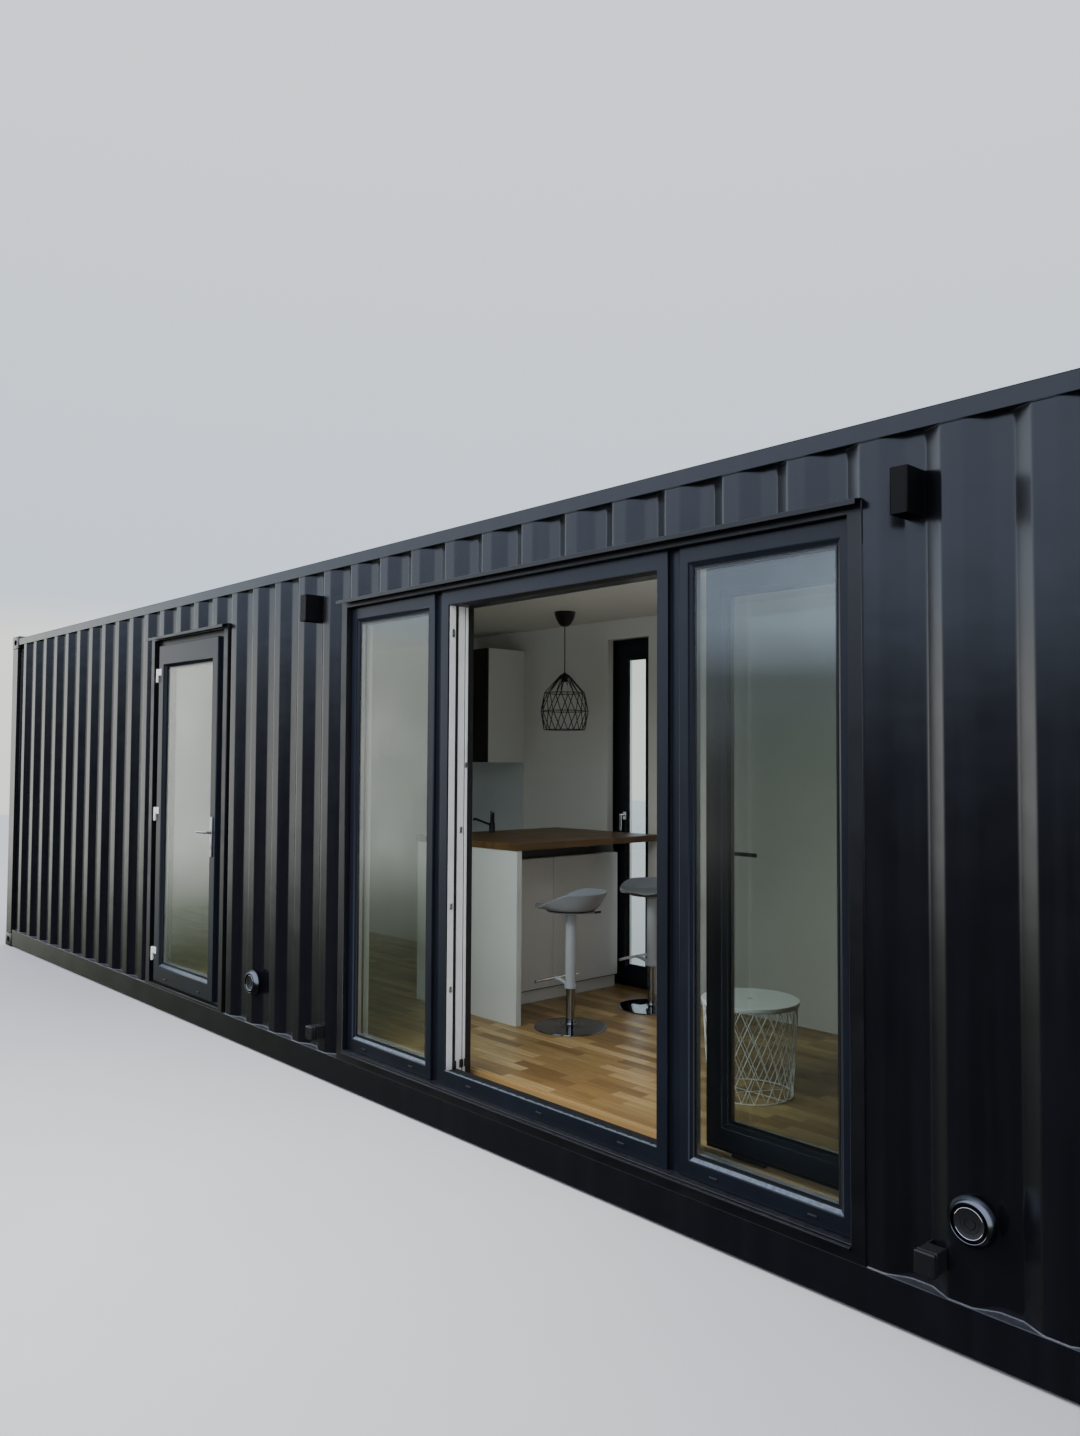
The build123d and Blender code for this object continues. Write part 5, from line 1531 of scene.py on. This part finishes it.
class CABIN_OT_stools(bpy.types.Operator):
    """Two bar stools with chrome feet, gas lifts, foot rests and dished seats"""
    bl_idname = "cabin.stools"
    bl_label = "Bar stools"

    def execute(self, context):
        builder = Builder()
        foot = [(0, 0), (0.2130, 0), (0.2135, 0.0025), (0.2110, 0.0060), (0.190, 0.0085), (0.120, 0.0110),
                (0.060, 0.0130), (0.034, 0.0200), (0.030, 0.0300), (0, 0.0300)]
        for along, deep, rise, back, lip in ((6.325, 1.252, 0.025, 30, 0.092), (6.310, 1.980, 0.060, 95, 0.064)):
            x, y = LEFT + along, FRONT + deep
            place = placed(x, y, FLOOR)
            tall = 0.645 + rise
            seat = FLOOR + tall
            # The feet, columns and levers use the darkened chrome: a painted dark reflection.
            builder.turned(foot, place, "dark chrome", 96, 40)
            builder.turned([(0, 0.02), (0.0262, 0.02), (0.0262, 0.235 + rise), (0, 0.235 + rise)], place,
                           "dark chrome", 48, 40)
            builder.turned([(0, 0.200 + rise), (0.0315, 0.200 + rise), (0.0322, 0.203 + rise),
                            (0.0312, tall - 0.018), (0, tall - 0.018)], place, "column grey", 48, 30)
            builder.turned([(0, tall - 0.020), (0.050, tall - 0.018), (0.058, tall - 0.010), (0.070, tall - 0.004),
                            (0.138, tall - 0.002), (0.142, tall + 0.004), (0, tall + 0.006)], place, "seat shell",
                           64, 30)
            stool_shell(builder, x, y, seat + 0.013, math.radians(back), lip)
            self.rest(builder, x, y, rise)
            lever = arc_path([(x + 0.02, y + 0.02, seat - 0.010), (x + 0.07, y + 0.06, seat - 0.014),
                              (x + 0.105, y + 0.100, seat - 0.006)], 0.02)
            builder.tube(lever, 0.0038, "dark chrome", 12)
            builder.tube([(x + 0.100, y + 0.095, seat - 0.007), (x + 0.125, y + 0.122, seat - 0.002)], 0.0062,
                         "black plastic")
        piece(builder, "bar_stools")
        return {"FINISHED"}

    def rest(self, builder, x, y, rise):
        """The foot rest: a cross bar on an arm from a collar at the foot of the column."""
        z, collar = FLOOR + 0.242 + rise, FLOOR + 0.216 + rise
        builder.turned([(0.0315, -0.015), (0.0365, -0.013), (0.0365, 0.013), (0.0315, 0.015), (0.0315, -0.015)],
                       placed(x, y, collar), "column grey")
        arm = arc_path([(x - 0.030, y, collar + 0.003), (x - 0.080, y, z - 0.006), (x - 0.125, y, z)], 0.03)
        builder.tube(arm, 0.0115, "column grey", 16)
        bow = [(x - 0.112 - 0.014 * (1 - t * t), y + 0.174 * t, z) for t in [k / 10 for k in range(-10, 11)]]
        builder.tube(bow, 0.0088, "chrome", 16)


class CABIN_OT_side_table(bpy.types.Operator):
    """Wire basket table with a flat lid"""
    bl_idname = "cabin.side_table"
    bl_label = "Side table"

    def execute(self, context):
        low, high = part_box("side_table")
        x, y = (low[0] + high[0]) / 2, (low[1] + high[1]) / 2
        lid, foot, rows = high[2] - 0.018, FLOOR + 0.003, 6
        rim = lid - 0.004
        levels = [(foot + (rim - foot) * k / rows, 0.196 + 0.024 * k / rows) for k in range(rows + 1)]
        builder = Builder()
        add_bead(builder, bare_mesh(*wires(x, y, levels, 22, (0, rows))), "wire white",
                 settings().cabin_room.basket)
        for z, radius in ((foot, 0.196), (rim, 0.2215)):
            turns = [math.tau * k / 64 for k in range(64)]
            ring = [(x + radius * math.cos(turn), y + radius * math.sin(turn), z) for turn in turns]
            builder.tube(ring, 0.003, "wire white", 10, closed=True)
        for turn in (0, math.pi / 3, 2 * math.pi / 3):
            way = Vector((math.cos(turn), math.sin(turn), 0)) * 0.195
            middle = Vector((x, y, foot))
            builder.tube([middle - way, middle + way], 0.002, "wire white", 8)
        top = [(0.0150, 0.0175), (0.2255, 0.0175), (0.2275, 0.0160), (0.2280, 0.0130), (0.2270, 0.0020),
               (0.2245, 0.0005), (0.2235, 0.0020), (0.2240, 0.0130), (0.2200, 0.0145), (0.0150, 0.0145),
               (0.0150, 0.0175)]
        builder.turned(top, placed(x, y, lid), "wire white", 96, 30)
        piece(builder, "side_table")
        return {"FINISHED"}


# Stage

class CABIN_OT_stage(bpy.types.Operator):
    """Studio floor, soft light and the camera at the photograph's place"""
    bl_idname = "cabin.stage"
    bl_label = "Stage"

    def execute(self, context):
        mesh = bpy.data.meshes.new("studio_floor")
        part = bmesh.new()
        bmesh.ops.create_grid(part, x_segments=24, y_segments=24, size=settings().cabin_stage.floor / 2)
        bmesh.ops.translate(part, verts=part.verts[:], vec=((LEFT + RIGHT) / 2, (FRONT + BACK) / 2, 0))
        part.to_mesh(mesh)
        part.free()
        mesh.materials.append(finish_of("pale floor"))
        floor = bpy.data.objects.new("studio_floor", mesh)
        bpy.context.scene.collection.objects.link(floor)
        floor.visible_glossy = False
        self.sky()
        self.lights()
        self.camera()
        return {"FINISHED"}

    def sky(self):
        """Soft light that depends on height: pale all round, and dark up to the horizon in front.

        The dark part begins in front of the cabin's left end; beyond that end the pale part is brighter.
        """
        world = bpy.data.worlds.new("studio")
        bpy.context.scene.world = world
        world.use_nodes = True
        sky = Nodes(world.node_tree)
        x, y, z = sky.split(sky.node("ShaderNodeTexCoord").outputs["Generated"])
        height = sky.spread(z, -0.5, 0.5, 0.0, 1.0)
        pale = sky.ramp(height, (
            (0.0, (0.035, 0.038, 0.030)), (0.325, (0.10, 0.115, 0.080)), (0.365, (0.30, 0.33, 0.27)),
            (0.42, (0.98, 1.0, 0.94)), (0.60, (1.08, 1.09, 1.03)), (0.64, (0.76, 0.88, 1.03)),
            (1.0, (0.92, 0.97, 1.05))))
        dark = sky.ramp(height, (
            (0.0, (0.022, 0.023, 0.025)), (0.36, (0.022, 0.023, 0.026)), (0.44, (0.015, 0.016, 0.018)),
            (0.50, (0.045, 0.049, 0.056)), (0.575, (0.15, 0.17, 0.20)), (0.625, (0.72, 0.84, 1.06)),
            (1.0, (0.92, 1.0, 1.22))))
        flank = sky.spread(x, -0.86, -0.95, 0.0, 0.5)
        near = sky.spread(y, 0.24, 0.12, 0.0, 1.0)
        bright = sky.node("ShaderNodeVectorMath", {"operation": "SCALE"}, Vector=pale,
                          Scale=sky.maths("MULTIPLY_ADD", flank, near, 1.0))
        share = sky.ramp(sky.spread(x, -1.0, 1.0, 0.0, 1.0), (
            (0.0, (0.0, 0.0, 0.0)), (0.07, (0.0, 0.0, 0.0)), (0.21, (1.0, 1.0, 1.0)), (0.82, (1.0, 1.0, 1.0)),
            (0.95, (0.15, 0.15, 0.15))))
        front = sky.spread(y, 0.05, -0.25, 0.0, 1.0)
        blend = sky.mix(sky.maths("MULTIPLY", share, front), bright.outputs[0], dark)
        background = world.node_tree.nodes["Background"]
        sky.feed(background.inputs["Color"], blend)
        background.inputs["Strength"].default_value = settings().cabin_stage.sky

    def lights(self):
        """Large soft panels: one outside, and one that lets daylight fall into the room."""
        for name, spot, aim, wide, tall, power, tint in (
                ("key", (LEFT - 2.0, FRONT - 9.0, 8.0), (LEFT + 6.0, FRONT, 1.2), 7.0, 5.0, 230.0, (0.93, 0.96, 1.0)),
                ("day", (LEFT + 6.6, FRONT - 2.2, 3.4), (LEFT + 6.2, FRONT + 1.2, 0.3), 3.4, 1.6, 125.0,
                 (1.0, 0.98, 0.95))):
            light = bpy.data.lights.new(name, "AREA")
            light.shape = "RECTANGLE"
            light.size, light.size_y, light.energy, light.color = wide, tall, power, tint
            item = bpy.data.objects.new(name, light)
            bpy.context.scene.collection.objects.link(item)
            item.location = spot
            item.rotation_euler = (Vector(aim) - Vector(spot)).to_track_quat("-Z", "Y").to_euler()
            item.visible_glossy = False

    def camera(self):
        """The camera that the photograph was taken from."""
        data = bpy.data.cameras.new("camera")
        item = bpy.data.objects.new("camera", data)
        bpy.context.scene.collection.objects.link(item)
        sensor, picture, focal = 36, 1436, 1056.14  # millimetres, pixels, pixels
        data.sensor_fit = "VERTICAL"
        data.sensor_height = sensor
        data.lens = focal * sensor / picture
        data.clip_end = 200
        yaw, pitch, roll = (math.radians(value) for value in (47.3632, 2.2444, 0.3140))
        ahead = Vector((-math.sin(yaw) * math.cos(pitch), math.cos(yaw) * math.cos(pitch), math.sin(pitch)))
        across = Vector((math.cos(yaw), math.sin(yaw), 0))
        up = across.cross(ahead)
        right = math.cos(roll) * across + math.sin(roll) * up
        top = -math.sin(roll) * across + math.cos(roll) * up
        placing = Matrix((right, top, -ahead)).transposed().to_4x4()
        placing.translation = Vector((LEFT + 10.7626, SHEET_FACE - 3.0936, 1.7646))
        item.matrix_world = placing
        bpy.context.scene.camera = item


class CABIN_PT_panel(bpy.types.Panel):
    """Builds the cabin's pieces one group at a time"""
    bl_label = "Container cabin"
    bl_idname = "CABIN_PT_panel"
    bl_space_type = "VIEW_3D"
    bl_region_type = "UI"
    bl_category = "Cabin"

    def draw(self, context):
        for group in SETTINGS:
            box = self.layout.box()
            values = getattr(context.scene, group)
            for key in values.__annotations__:
                box.prop(values, key)
        for kind in OPERATORS:
            self.layout.operator(kind.bl_idname)


OPERATORS = (CABIN_OT_stage, CABIN_OT_shell, CABIN_OT_surrounds, CABIN_OT_lights, CABIN_OT_entrance,
             CABIN_OT_sliding_door, CABIN_OT_fittings, CABIN_OT_room, CABIN_OT_kitchen, CABIN_OT_pendant,
             CABIN_OT_stools, CABIN_OT_side_table)
SETTINGS = {"cabin_shell": CabinShellSettings, "cabin_opening": CabinOpeningSettings,
            "cabin_room": CabinRoomSettings, "cabin_stage": CabinStageSettings}


def register():
    for kind in (*SETTINGS.values(), *OPERATORS, CABIN_PT_panel):
        bpy.utils.register_class(kind)
    for name, kind in SETTINGS.items():
        setattr(bpy.types.Scene, name, bpy.props.PointerProperty(type=kind))


def unregister():
    for name in SETTINGS:
        delattr(bpy.types.Scene, name)
    for kind in reversed((*SETTINGS.values(), *OPERATORS, CABIN_PT_panel)):
        bpy.utils.unregister_class(kind)


def main():
    register()
    for kind in OPERATORS:
        group, action = kind.bl_idname.split(".")
        getattr(getattr(bpy.ops, group), action)()


if __name__ == "__main__":
    main()
